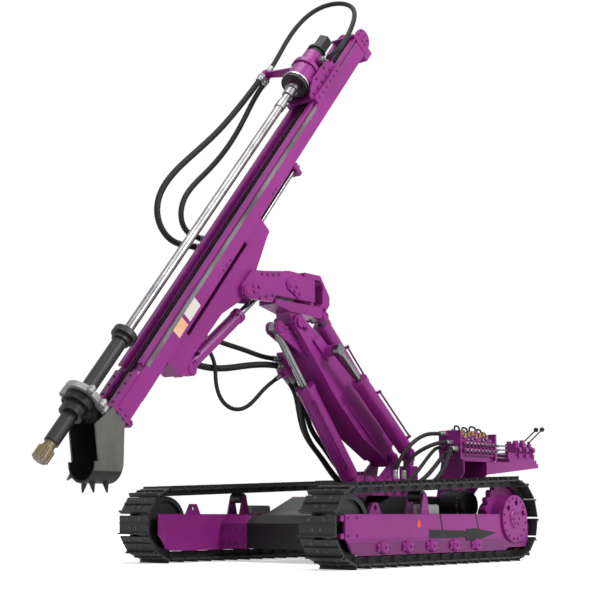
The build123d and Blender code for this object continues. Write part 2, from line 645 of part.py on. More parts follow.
def make_yoke():
    """C-shaped head: foot on the tip pin, eye for the tilt cylinder, two arms that hold the upright pin."""
    x, z = BOOM_TIP
    q = KNUCKLE_PIN_X
    c_outline = [
        (x + 280, YOKE_LOW + 30), (x + 280, YOKE_LOW - 10), (x + 80, YOKE_LOW - 55), (TILT_EYE[0] + 60, YOKE_LOW - 70),
        (205, YOKE_LOW + 60), (205, 2300), (330, YOKE_HIGH + 50), (q + 95, YOKE_HIGH + 50), (q + 95, YOKE_HIGH + 5),
        (q - 115, YOKE_HIGH + 5), (300, YOKE_HIGH - 30), (300, YOKE_LOW + 70), (345, YOKE_LOW + 30)]
    yoke = slab(WORLD, c_outline, -YOKE_HALF, YOKE_HALF)
    yoke += Pos(q, 0, YOKE_HIGH + 5) * extrude(Circle(85), 45)
    foot = disc(WORLD, BOOM_TIP, 62, -YOKE_FOOT_HALF, YOKE_FOOT_HALF)
    foot += slab(WORLD, [(x - 75, YOKE_LOW - 55), (x - 55, z), (x + 55, z), (x + 85, YOKE_LOW - 55)],
                 -YOKE_FOOT_HALF, YOKE_FOOT_HALF)
    yoke += foot - disc(WORLD, BOOM_TIP, 63, YOKE_FOOT_HALF, YOKE_HALF + 50)
    yoke -= disc(WORLD, BOOM_TIP, BOOM_PIN_R + PIN_GAP, -YOKE_HALF - 5, YOKE_HALF + 5)
    for side in (-1, 1):
        y0 = min(side * (TILT_EYE_WIDTH / 2 + EYE_GAP), side * (TILT_EYE_WIDTH / 2 + EYE_GAP + 22))
        lug = disc(WORLD, TILT_EYE, 55, y0, y0 + 22)
        yoke += lug
    slot = TILT_EYE_WIDTH / 2 + EYE_GAP
    yoke -= disc(WORLD, TILT_EYE, 95, -slot, slot)
    yoke += Pos(q, 0, YOKE_LOW + 10) * extrude(Circle(KNUCKLE_PIN_R), YOKE_HIGH - YOKE_LOW + 20)
    pins["yoke_tilt"] = (x, 0, z)
    pins["arm_swing"] = (q, 0, (YOKE_LOW + YOKE_HIGH) / 2)
    return yoke


def make_arm():
    """Knuckle arm: boss on the upright pin, box body, and a fork for the cradle's pin."""
    q = KNUCKLE_PIN_X
    low = YOKE_LOW + 30 + 4
    high = YOKE_HIGH + 5 - 4
    arm = Pos(q, 0, low) * extrude(Circle(ARM_BOSS_R), high - low)
    x, z = ARM_PIN
    body = [(q, low + 20), (ARM_SOLID_X, low + 20), (ARM_SOLID_X, YOKE_HIGH + 16), (x - 520, YOKE_HIGH + 25), (q + 200, YOKE_HIGH + 20),
            (q + 145, high - 5), (q, high - 5)]
    arm += slab(WORLD, body, -ARM_HALF, ARM_HALF)
    inner = CRADLE_LUG_HALF + EYE_GAP
    back = ARM_SOLID_X - 5
    arm += slab(WORLD, [(back, YOKE_HIGH - 42), (x - 290, YOKE_HIGH - 42), (x - 290, YOKE_HIGH - 10), (back, YOKE_HIGH + 14)], -inner - 2, inner + 2)
    cheek = [(back, low + 20), (x - 355, low + 20), (x - 310, 2150), (x - 20, 2140), (x + 60, z - 30), (x + 60, z + 40),
             (x - 60, YOKE_HIGH - 35), (x - 210, YOKE_HIGH - 22), (back, YOKE_HIGH + 14)]
    lug = [(back, z + 20), (DUMP_EYE[0], DUMP_EYE[1] - LUG_R), (DUMP_EYE[0] + LUG_R, DUMP_EYE[1]),
           (DUMP_EYE[0] + LUG_R, 2380), (back, 2400)]
    eye_side = DUMP_EYE_WIDTH / 2 + EYE_GAP
    for side in (-1, 1):
        arm += slab(WORLD, cheek, min(side * inner, side * ARM_HALF), max(side * inner, side * ARM_HALF))
        arm += slab(WORLD, lug, min(side * eye_side, side * (eye_side + 20)), max(side * eye_side, side * (eye_side + 20)))
    arm += disc(WORLD, ARM_PIN, BOOM_PIN_R, -ARM_HALF - 12, ARM_HALF + 12)
    arm -= Pos(q, 0, low - 1) * extrude(Circle(KNUCKLE_PIN_R + PIN_GAP), high - low + 2)
    pins["mast_tilt"] = (x, 0, z)
    return arm


# Mast and what it carries

def make_cradle():
    """Open frame behind the mast: two side plates, cross plates, guide claws round the mast's rear rail."""
    pin = MAST.to_local_coords(Vector(ARM_PIN[0], 0, ARM_PIN[1]))
    t, s = pin.X, pin.Y
    cradle = None
    side_outline = [
        (CRADLE_FRONT, CRADLE_LOW), (CRADLE_FRONT, CRADLE_HIGH), (CRADLE_FRONT - 110, CRADLE_HIGH),
        (CRADLE_FRONT - 150, CRADLE_HIGH - 150), (t - 50, s + 40), (t - 62, s - 20), (t - 30, s - 60),
        (CRADLE_FRONT - 150, s - 330), (CRADLE_FRONT - 120, CRADLE_LOW)]
    for side in (-1, 1):
        y0 = min(side * (CRADLE_LUG_HALF - 22), side * CRADLE_LUG_HALF)
        plate = slab(MAST, side_outline, y0, y0 + 22)
        cradle = plate if cradle is None else cradle + plate
    half = CRADLE_LUG_HALF - 10
    for s0, s1 in ((CRADLE_LOW, CRADLE_LOW + 160), (CRADLE_LOW + 520, CRADLE_LOW + 640), (CRADLE_HIGH - 160, CRADLE_HIGH)):
        cradle += mast_block(CRADLE_FRONT - 128, CRADLE_FRONT - 106, -half, half, s0, s1)
    cradle += mast_block(CRADLE_FRONT - 120, CRADLE_FRONT, -half, half, CRADLE_LOW, CRADLE_LOW + 20)
    for s0 in (CRADLE_LOW, CRADLE_HIGH - 300):
        for side in (-1, 1):
            y0 = side * (REAR_RAIL_HALF + CLAW_GAP)
            y1 = side * (REAR_RAIL_HALF + CLAW_GAP + 34)
            claw = mast_block(CRADLE_FRONT - 20, -2 * REAR_RAIL_T + REAR_RAIL_T - CLAW_GAP, min(y0, y1), max(y0, y1),
                              s0, s0 + 300)
            y2 = side * (REAR_WEB_HALF + CLAW_GAP)
            claw += mast_block(-REAR_RAIL_T + CLAW_GAP, -CLAW_GAP, min(y1, y2), max(y1, y2), s0, s0 + 300)
            claw += mast_block(-2 * REAR_RAIL_T - CLAW_GAP - 6, -CLAW_GAP, min(y0, y1), max(y0, y1), s0, s0 + 300)
            cradle += claw
    cradle -= disc(WORLD, ARM_PIN, BOOM_PIN_R + PIN_GAP, -200, 200)
    foot = MAST.to_local_coords(Vector(DUMP_FOOT[0], 0, DUMP_FOOT[1]))
    spot = (foot.X, foot.Y)
    lug_in = DUMP_EYE_WIDTH / 2 + EYE_GAP
    edge = CRADLE_FRONT - 120
    for side in (-1, 1):
        y0 = min(side * lug_in, side * CRADLE_LUG_HALF)
        y1 = max(side * lug_in, side * CRADLE_LUG_HALF)
        cradle += disc(MAST, spot, LUG_R, y0, y1)
        cradle += slab(MAST, [(edge, CRADLE_LOW), (edge, spot[1] + 60), (spot[0], spot[1] + LUG_R),
                              (spot[0], spot[1] - LUG_R)], y0, y1)
    outer = -CRADLE_LUG_HALF + 1
    cradle += block(1920, 2010, -175, outer, 1550, 1650) + block(1740, 1830, -175, outer, 1745, 1855)
    for x, z, width in ((1920, 1600, 62), (1740, 1825, 50), (1740, 1778, 42)):
        cradle += hex_plug((x, -135, z), (-1, 0, 0), width, PORT_LENGTH)
    return cradle + disc(MAST, spot, PIN_R, -CRADLE_LUG_HALF, CRADLE_LUG_HALF)


def make_slide_ram():
    """The cylinder in the cradle that moves the mast. Its rod's end sits in the mast's back bracket."""
    low = CRADLE_LOW + 20.3
    high = CRADLE_HIGH + 10
    barrel = mast_round(SLIDE_T, 0, low, high, SLIDE_BARREL_R)
    barrel -= mast_round(SLIDE_T, 0, low + 40, high + 1, SLIDE_ROD_R + ROD_GAP)
    rod = mast_round(SLIDE_T, 0, low + SLIDE_ROD_START, SLIDE_BRACKET_S + 50, SLIDE_ROD_R)
    rod += mast_round(SLIDE_T, 0, SLIDE_BRACKET_S + 40, SLIDE_BRACKET_S + 80, SLIDE_ROD_R + 12)
    return barrel, rod


def make_mast():
    """The beam: box section with two front rails and a rear T-rail, all in one length."""
    half = MAST_HALF_WIDTH
    beam = mast_block(0, MAST_DEPTH, -half, half, 0, MAST_LENGTH)
    beam -= mast_block(MAST_WALL, MAST_DEPTH - MAST_WALL, -half + MAST_WALL, half - MAST_WALL, -1, MAST_LENGTH + 1)
    for side in (-1, 1):
        for t0, t1, ya, yb in (
                (MAST_DEPTH, MAST_DEPTH + RAIL_DEPTH - 18, half - 34, half - 14),
                (MAST_DEPTH + RAIL_DEPTH - 18, MAST_DEPTH + RAIL_DEPTH, half - 46, half + 2)):
            beam += mast_block(t0, t1, min(side * ya, side * yb), max(side * ya, side * yb), RAIL_LOW, MAST_LENGTH)
    beam += mast_block(-REAR_RAIL_T, 0, -REAR_WEB_HALF, REAR_WEB_HALF, REAR_RAIL_LOW, REAR_RAIL_HIGH)
    beam += mast_block(-2 * REAR_RAIL_T, -REAR_RAIL_T, -REAR_RAIL_HALF, REAR_RAIL_HALF, REAR_RAIL_LOW, REAR_RAIL_HIGH)
    bracket = mast_block(SLIDE_T - 60, 0, -50, 50, SLIDE_BRACKET_S, SLIDE_BRACKET_S + 40)
    beam += bracket - mast_round(SLIDE_T, 0, SLIDE_BRACKET_S - 1, SLIDE_BRACKET_S + 41, SLIDE_ROD_R + ROD_GAP)
    return beam


def make_flange():
    """The plate that closes the mast's lower end, with the smooth covers over the ends of the rails."""
    front = MAST_DEPTH + RAIL_DEPTH + 10
    return mast_block(-25, front, -MAST_HALF_WIDTH - 25, MAST_HALF_WIDTH + 25, -FLANGE_THICK, 0)


def make_rail_covers():
    """Two smooth covers with rounded upper ends, which guard the lower ends of the front rails."""
    covers = []
    for side, length in ((-1, RAIL_LOW - 50), (1, RAIL_LOW - 90)):
        y = side * (MAST_HALF_WIDTH - 42)
        cover = mast_block(MAST_DEPTH, MAST_DEPTH + COVER_DEPTH, y - 36, y + 36, 0, length)
        end = mast_block(MAST_DEPTH, MAST_DEPTH + COVER_DEPTH, y - 36, y + 36, length - 1, length + 30)
        round_end = mast_round(MAST_DEPTH, y, length - 1, length + 30, 36)
        covers.append(cover + (end & round_end))
    return covers


def below_flange(solid):
    """What is left of a solid under the mast's end plate."""
    return solid - mast_block(-600, 900, -400, 400, -FLANGE_THICK, 900)


def make_foot():
    """Half-pipe shoe across the ground line, its side plates up to the end plate, and four spikes."""
    x0 = MAST_BASE[0] + FOOT_BACK
    x1 = x0 + FOOT_DEPTH
    axis_z = MAST_BASE[1] - FOOT_DROP
    ring = Circle(TROUGH_R) - Circle(TROUGH_R - TROUGH_WALL)
    ring -= Pos(0, TROUGH_R) * Rectangle(2 * TROUGH_R + 10, 2 * TROUGH_R)
    foot = extrude(Plane(origin=(x0, 0, axis_z), x_dir=(0, 1, 0), z_dir=(1, 0, 0)) * ring, FOOT_DEPTH)
    outline = [(x0, axis_z), (x1 - 30, axis_z), (x1 + 10, MAST_BASE[1] - 30), (x0 + 110, MAST_BASE[1] + 100),
               (x0, MAST_BASE[1] + 100)]
    for side in (-1, 1):
        edge = side * TROUGH_R
        foot += slab(WORLD, outline, min(edge, edge - side * TROUGH_WALL), max(edge, edge - side * TROUGH_WALL))
    inner = TROUGH_R - TROUGH_WALL
    foot += block(x0, x0 + TROUGH_WALL, -inner - 1, inner + 1, axis_z - 60, MAST_BASE[1] + 100)
    for x, angle in SPIKES:
        a = math.radians(angle)
        out = Vector(0, math.sin(a), -math.cos(a))
        base = Vector(x0 + x, 0, axis_z) + out * (TROUGH_R - 4)
        foot += Plane(origin=base, z_dir=out) * Pos(0, 0, SPIKE_LENGTH / 2) * Cone(SPIKE_R, SPIKE_R / 4, SPIKE_LENGTH)
    return below_flange(foot)


def make_centralizer():
    """Two-lobed clamp that steadies the hammer, with bolt ears, on a neck from the end plate."""
    top = -FLANGE_THICK
    plan = Pos(DRILL_T) * Circle(CLAMP_R) + Pos(MAST_DEPTH + 50) * Circle(CLAMP_SMALL_R)
    plan += make_face(Polyline((MAST_DEPTH + 60, CLAMP_SMALL_R), (MAST_DEPTH + 60, -CLAMP_SMALL_R),
                               (DRILL_T - 30, -CLAMP_R + 6), (DRILL_T - 30, CLAMP_R - 6), close=True))
    for t, y in ((DRILL_T + 60, CLAMP_R + 2), (DRILL_T + 60, -CLAMP_R - 2), (DRILL_T - 85, CLAMP_R - 6),
                 (DRILL_T - 85, 6 - CLAMP_R), (MAST_DEPTH + 70, CLAMP_SMALL_R + 8), (MAST_DEPTH + 70, -CLAMP_SMALL_R - 8)):
        plan += Pos(t, y) * Circle(26)
    clamp = extrude(mast_plan(CLAMP_LOW) * plan, CLAMP_HEIGHT)
    clamp += mast_block(MAST_DEPTH - 30, MAST_DEPTH + 130, -92, 92, CLAMP_LOW, top)
    return clamp - mast_round(DRILL_T, 0, CLAMP_LOW - 1, top, HAMMER_R + HAMMER_GAP)


def make_guide_housing():
    """Stepped barrel under the clamp, round the hammer."""
    housing = mast_round(DRILL_T, 0, CLAMP_LOW - 70, CLAMP_LOW, 118)
    housing += mast_round(DRILL_T, 0, CLAMP_LOW - 150, CLAMP_LOW - 70, 92)
    housing += mast_block(MAST_DEPTH + 20, DRILL_T - 60, -78, 78, CLAMP_LOW - 55, CLAMP_LOW)
    return housing - mast_round(DRILL_T, 0, CLAMP_LOW - 151, CLAMP_LOW + 1, HAMMER_R + HAMMER_GAP)


def make_mast_cap():
    """Top end with the housing of the feed chain's return wheel."""
    front = MAST_DEPTH + RAIL_DEPTH + 30
    wheel = (95, MAST_LENGTH + 115)
    cap = mast_block(-10, front, -MAST_HALF_WIDTH - 5, MAST_HALF_WIDTH + 5, MAST_LENGTH, MAST_LENGTH + 16)
    for side in (-1, 1):
        y0 = min(side * 96, side * 114)
        cap += disc(MAST, wheel, 100, y0, y0 + 18)
        cap += slab(MAST, [(wheel[0] - 100, MAST_LENGTH + 10), (wheel[0] + 100, MAST_LENGTH + 10),
                           (wheel[0] + 100, wheel[1]), (wheel[0] - 100, wheel[1])], y0, y0 + 18)
        cap += mast_block(-75, -10, min(side * 60, side * 114), max(side * 60, side * 114),
                          MAST_LENGTH - 90, MAST_LENGTH + 120)
    cap += mast_block(-75, -60, -70, 70, MAST_LENGTH - 90, MAST_LENGTH + 120)
    cap += disc(MAST, wheel, 25, -124, 124)
    cap -= mast_block(-80, 0, -140, 140, MAST_LENGTH - 95, MAST_LENGTH)
    return cap + mast_block(-75, -10, -114, 114, MAST_LENGTH, MAST_LENGTH + 16)


def make_chain_wheel():
    """Toothed wheel between the cap's plates, on their pin."""
    centre = (95, MAST_LENGTH + 115)
    outline = []
    for i in range(CHAIN_WHEEL_TEETH):
        for share, radius in ((-0.3, 66), (-0.1, 80), (0.1, 80), (0.3, 66)):
            angle = 2 * math.pi * (i + share) / CHAIN_WHEEL_TEETH
            outline.append((centre[0] + radius * math.cos(angle), centre[1] + radius * math.sin(angle)))
    wheel = slab(MAST, outline, -11, 11) + disc(MAST, centre, 44, -60, 60)
    return wheel - disc(MAST, centre, 25 + PIN_GAP, -61, 61)


def make_feed_chain():
    """The chain's front run, which lies on the mast between the rails."""
    return mast_block(MAST_DEPTH, MAST_DEPTH + CHAIN_DEPTH, -CHAIN_HALF, CHAIN_HALF, 60, MAST_LENGTH - 60)


def make_carriage():
    """Slide plate that hooks round the front rails, with the cheeks that carry the rotary head."""
    half = MAST_HALF_WIDTH
    s0 = HEAD_S - 40
    s1 = HEAD_S + 480
    top = MAST_DEPTH + RAIL_DEPTH
    under = top - RAIL_HEAD - CLAW_GAP
    carriage = mast_block(top + CLAW_GAP, top + CLAW_GAP + 24, -half - 40, half + 40, s0, s1)
    for side in (-1, 1):
        y0 = side * (half + 2 + CLAW_GAP)
        y1 = side * (half + 40)
        y2 = side * (half - 12 + CLAW_GAP)
        carriage += mast_block(under - 20, top + CLAW_GAP + 1, min(y0, y1), max(y0, y1), s0, s1)
        carriage += mast_block(under - 20, under, min(y2, y1), max(y2, y1), s0, s1)
        cheek = [(top + 10, s0), (top + 60, s0), (DRILL_T - 40, s0 + 150), (DRILL_T - 40, s1 - 90), (top + 60, s1),
                 (top + 10, s1)]
        carriage += slab(MAST, cheek, min(side * 116, side * 134), max(side * 116, side * 134))
    for s in (HEAD_S + 90, HEAD_S + 400):
        carriage += mast_block(top + CLAW_GAP + 20, DRILL_T - 40, -118, 118, s, s + 40)
    return carriage - mast_round(DRILL_T, 0, s0, HEAD_S + 300, 112.3) - mast_round(DRILL_T, 0, HEAD_S + 300, s1, 95.3)


def make_head():
    """Rotary head: gear case with its bolted ring and hose arm, the lower bearing ring, and the motor on top."""
    case = mast_round(DRILL_T, 0, HEAD_S + 60, HEAD_S + 230, 112) + mast_round(DRILL_T, 0, HEAD_S + 230, HEAD_S + 275, 128)
    case += mast_round(DRILL_T, 0, HEAD_S + 275, HEAD_S + 440, 95)
    case -= mast_block(0, DRILL_T - 38, -200, 200, HEAD_S + 229, HEAD_S + 276)
    arm = make_face(Polyline((DRILL_T - 32, -96), (DRILL_T + 60, -96), (HOSE_ARM_T + 30, HOSE_ARM_Y),
                             (HOSE_ARM_T - 30, HOSE_ARM_Y), close=True))
    case += extrude(mast_plan(HEAD_S + 232) * arm, 18)
    case += mast_block(HOSE_ARM_T - 45, HOSE_ARM_T + 45, HOSE_ARM_Y - 34, HOSE_ARM_Y + 6, HEAD_S + 205, HEAD_S + 265)
    ring = mast_round(DRILL_T, 0, HEAD_S, HEAD_S + 60, 105)
    motor = mast_round(DRILL_T, 0, HEAD_S + 440, HEAD_S + 520, 74)
    motor += extrude(mast_plan(HEAD_S + 520) * Pos(DRILL_T) * RegularPolygon(76, 6), 180)
    motor += mast_block(DRILL_T - 40, DRILL_T + 40, -120, -60, HEAD_S + 560, HEAD_S + 640)
    for t, s, way, width in ((397, HEAD_S + 205, -1, 62), (455, HEAD_S + 205, -1, 56), (430, HEAD_S + 265, 1, 52)):
        case += mast_port((t, HOSE_ARM_Y - 14, s), (0, 0, way), width, PORT_LENGTH)
    case += mast_port((DRILL_T, 90, HEAD_S + 350), (0, 1, 0), 56, 45)
    return case, ring, motor


def make_string():
    """Drill rod under the head with its stepped coupling, the hammer, the bit, and the bush that rides on them."""
    rod = mast_round(DRILL_T, 0, HAMMER_TOP, HEAD_S - 330, ROD_R)
    for low, high, r in COUPLING_STEPS:
        rod += mast_round(DRILL_T, 0, HEAD_S - high, HEAD_S - low, r)
    hammer = mast_round(DRILL_T, 0, HAMMER_LOW, HAMMER_TOP - 40, HAMMER_R)
    hammer += mast_round(DRILL_T, 0, HAMMER_TOP - 40, HAMMER_TOP, HAMMER_CAP_R)
    bit = mast_round(DRILL_T, 0, HAMMER_LOW - 60, HAMMER_LOW, 44)
    bit += mast_round(DRILL_T, 0, HAMMER_LOW - 150, HAMMER_LOW - 60, BIT_R)
    for i in range(BIT_FLUTES):
        a = 2 * math.pi * i / BIT_FLUTES
        bit -= mast_round(DRILL_T + BIT_R * math.cos(a), BIT_R * math.sin(a), HAMMER_LOW - 151, HAMMER_LOW - 59, 11)
    bush = mast_round(DRILL_T, 0, HAMMER_TOP + 1, HAMMER_TOP + 50, 98)
    bush += mast_round(DRILL_T, 0, HAMMER_TOP - 39.7, HAMMER_TOP + 1, 72)
    bush -= mast_round(DRILL_T, 0, HAMMER_TOP - 41, HAMMER_TOP + 60, HAMMER_CAP_R + ROD_GAP)
    pins["drill_spin"] = tuple(MAST.from_local_coords(Vector(DRILL_T, HEAD_S, 0)))
    return rod, hammer, bit, bush


def mast_port(centre, direction, across_flats, length):
    """Hexagon fitting on the mast's side of things, with its centre and direction as (T, Y, S)."""
    t, y, s = centre
    start = MAST.from_local_coords(Vector(t, s, -y))
    end = MAST.from_local_coords(Vector(t + direction[0], s + direction[2], -y - direction[1]))
    return hex_plug(tuple(start), tuple(end - start), across_flats, length)


def make_hose_block():
    """Manifold on the mast's far side, where the head's hoses end at fittings that look forward and down."""
    y0 = -MAST_HALF_WIDTH - 165
    y1 = -MAST_HALF_WIDTH
    low = HOSE_BLOCK_S
    body = slab(MAST, [(-5, low + 15), (30, low + 15), (75, low + 75), (64, low + 94), (42, low + 110), (87, low + 170),
                       (87, low + 250), (-5, low + 250)], y0, y1)
    body += mast_block(20, 92, y1 - 24, y1, low + 240, low + 620)
    body += mast_block(10, 98, y1 - 60, y1, low + 480, low + 620)
    for t, s in ((52.5, low + 45), (64.5, low + 140)):
        body += mast_port((t, BLOCK_PORT_Y, s), (0.8, 0, -0.6), 60, 30)
    return body


# Control station: stand on the carbody's left side, main valves, and the operator's valves behind them


def make_pedestal():
    """Two uprights on the deck's edge, a top plate, and a braced shelf that reaches back."""
    inner = STATION_Y - 130
    outer = STATION_Y + 110
    deck = BODY_HALF_WIDTH
    upright = [(inner - 60, BODY_TOP), (deck, BODY_TOP), (outer, STATION_TOP - 120), (outer, STATION_TOP - 10),
               (inner, STATION_TOP - 10)]
    stand = block(STATION_REAR_X, STATION_FRONT_X, inner, outer, STATION_TOP - 12, STATION_TOP)
    for x0 in (STATION_REAR_X, STATION_FRONT_X - 14):
        stand += across(upright, x0, x0 + 14)
    stand += block(STATION_REAR_X, STATION_FRONT_X, inner, inner + 14, BODY_TOP, STATION_TOP)
    shelf_y = (STATION_Y - 80, STATION_Y + 80)
    shelf = block(SHELF_REAR_X, STATION_REAR_X + 1, *shelf_y, STATION_TOP - 12, STATION_TOP)
    for y0 in (shelf_y[0], shelf_y[1] - 10):
        brace = [(STATION_REAR_X + 1, STATION_TOP - 130), (STATION_REAR_X + 1, STATION_TOP),
                 (SHELF_REAR_X, STATION_TOP), (SHELF_REAR_X, STATION_TOP - 40)]
        shelf += slab(WORLD, brace, y0, y0 + 10)
    return stand + shelf


def make_valve_bank():
    """A row of spool valves: each a block with a cap on each side, a relief plug on top and ports in front."""
    x0 = STATION_REAR_X - VALVE_OVERHANG
    base = STATION_TOP
    length = VALVE_COUNT * VALVE_STEP
    bank = block(x0, x0 + length, STATION_Y - 90, STATION_Y + 90, base, base + 60)
    for i in range(VALVE_COUNT):
        x = x0 + (i + 0.5) * VALVE_STEP
        rise = VALVE_RISES[i % len(VALVE_RISES)]
        bank += block(x - 28, x + 28, STATION_Y - 110, STATION_Y + 110, base + 40, base + 170 + rise)
        for z, width in ((base + 85, 44), (base + 145, 38)):
            bank += hex_plug((x, STATION_Y + 110, z), (0, 1, 0), width, 26)
            bank += hex_plug((x, STATION_Y - 110, z), (0, -1, 0), width, 20)
        bank += hex_plug((x, STATION_Y + 50, base + 170 + rise), (0, 0, 1), 40, 34)
        bank += hex_plug((x, STATION_Y - 45, base + 170 + rise), (0, 0, 1), 34, 50)
    bank += block(x0 - 26, x0, STATION_Y - 118, STATION_Y + 118, base, base + 250)
    bank += block(x0 + length, x0 + length + 26, STATION_Y - 118, STATION_Y + 118, base, base + 262)
    for y, z in ((STATION_Y + 30, 1040), (STATION_Y - 40, 1120)):
        bank += hex_plug((VALVE_FRONT_X, y, z), (1, 0, 0), 44, 26)
    return bank + block(x0, x0 + 300, STATION_Y - 18, STATION_Y + 22, base + 165, base + 265)


def make_pilot_pipes():
    """Steel pipes between the main valves and the operator's valves, in two columns."""
    pipes = []
    x0 = PILOT_FRONT_X + 0.3
    x1 = STATION_REAR_X - VALVE_OVERHANG - 26.3
    for y in (STATION_Y - 40, STATION_Y + 40):
        for z in range(PIPE_ROWS):
            height = STATION_TOP + 40 + z * 38
            pipes.append(rod_between((x0, y, height), (x1, y, height), PIPE_R))
    return pipes


def make_pilot_frame():
    """Black channel under the operator's valves, on the shelf."""
    y0 = STATION_Y - 75
    y1 = STATION_Y + 75
    frame = block(PILOT_REAR_X, PILOT_FRONT_X, y0, y1, STATION_TOP, STATION_TOP + 12)
    for y in (y0, y1 - 8):
        frame += block(PILOT_REAR_X, PILOT_FRONT_X, y, y + 8, STATION_TOP, STATION_TOP + 34)
    return frame


def make_pilot_block():
    """The operator's valves: three upright bodies with round spool housings on a common plate."""
    base = STATION_TOP + 34
    half = 62
    body = block(PILOT_REAR_X + 20, PILOT_FRONT_X, STATION_Y - half, STATION_Y + half, base - 20, base + 60)
    body -= block(PILOT_REAR_X, PILOT_FRONT_X + 1, STATION_Y - half - 1, STATION_Y - 62, base - 30, base + 1)
    for i, height in enumerate(PILOT_HEIGHTS):
        x = PILOT_REAR_X + 70 + i * 130
        body += block(x - 30, x + 30, STATION_Y - half, STATION_Y + half, base + 40, base + height)
        for y in (STATION_Y - 34, STATION_Y + 34):
            body += Pos(x, y, base + height) * extrude(Circle(24), 26)
        body += hex_plug((x, STATION_Y + half, base + 95), (0, 1, 0), 46, 30)
        body += hex_plug((x, STATION_Y + half, base + 40), (0, 1, 0), 34, 22)
    return body


def make_pilot_levers():
    """Two levers with ball knobs, leaning back from the last operator's valve."""
    levers = []
    foot_x = PILOT_REAR_X + 70
    foot_z = STATION_TOP + 34 + PILOT_HEIGHTS[0] + 26.3
    for y in (STATION_Y - 34, STATION_Y + 34):
        foot = Vector(foot_x, y, foot_z)
        tip = Vector(LEVER_TIP_X, y, LEVER_TIP_Z)
        socket = rod_between((foot_x, y, foot_z), (foot_x, y, foot_z + 26), 14)
        rod = rod_between(tuple(foot + Vector(0, 0, 15)), tuple(tip), LEVER_R)
        levers.append(rod + Plane(origin=tip, z_dir=tip - foot) * Sphere(KNOB_R) + socket)
    return levers


def make_power_block():
    """Valve manifold on the deck beside the boom's foot, with its ports and relief valves."""
    x0, x1 = DECK_BLOCK_X
    y0, y1 = DECK_BLOCK_Y
    top = BODY_TOP + 110
    body = block(x0, x1, y0, y1, BODY_TOP, top)
    for i in range(DECK_BLOCK_PORTS):
        x = x0 + (i + 0.5) * (x1 - x0) / DECK_BLOCK_PORTS
        body += hex_plug((x, y1 - 70, top), (0, 0, 1), 60, 40)
        body += hex_plug((x, y0 + 70, top), (0, 0, 1), 48, 60)
        body += hex_plug((x, y1, BODY_TOP + 60), (0, 1, 0), 52, 30)
    return body


# Hoses. Each route is a list of points chosen by eye, and its arcs are as large as the runs allow


def arc_radii(points):
    """One radius for each inner point: 0.45 of the shorter run, divided by the tangent of half the turn."""
    radii = []
    for before, here, after in zip(points, points[1:], points[2:]):
        a = Vector(*here) - Vector(*before)
        b = Vector(*after) - Vector(*here)
        turn = math.radians(a.get_angle(b))
        radii.append(ARC_SHARE * min(a.length, b.length) / math.tan(turn / 2))
    return radii


def make_hose(name, points, diameter):
    """A plain tube along straight runs joined by tangent arcs."""
    radii = arc_radii(points)
    path = FilletPolyline(*points, radius=radii)
    section = Plane(origin=path @ 0, z_dir=path % 0) * Circle(diameter / 2)
    print("hose", name, "length", round(path.length), "least radius", round(min(radii)), "diameter", diameter)
    return sweep(section, path=path)


def mast_route(rows):
    """Points given as T, Y and S."""
    return [tuple(MAST.from_local_coords(Vector(t, s, -y))) for t, y, s in rows]


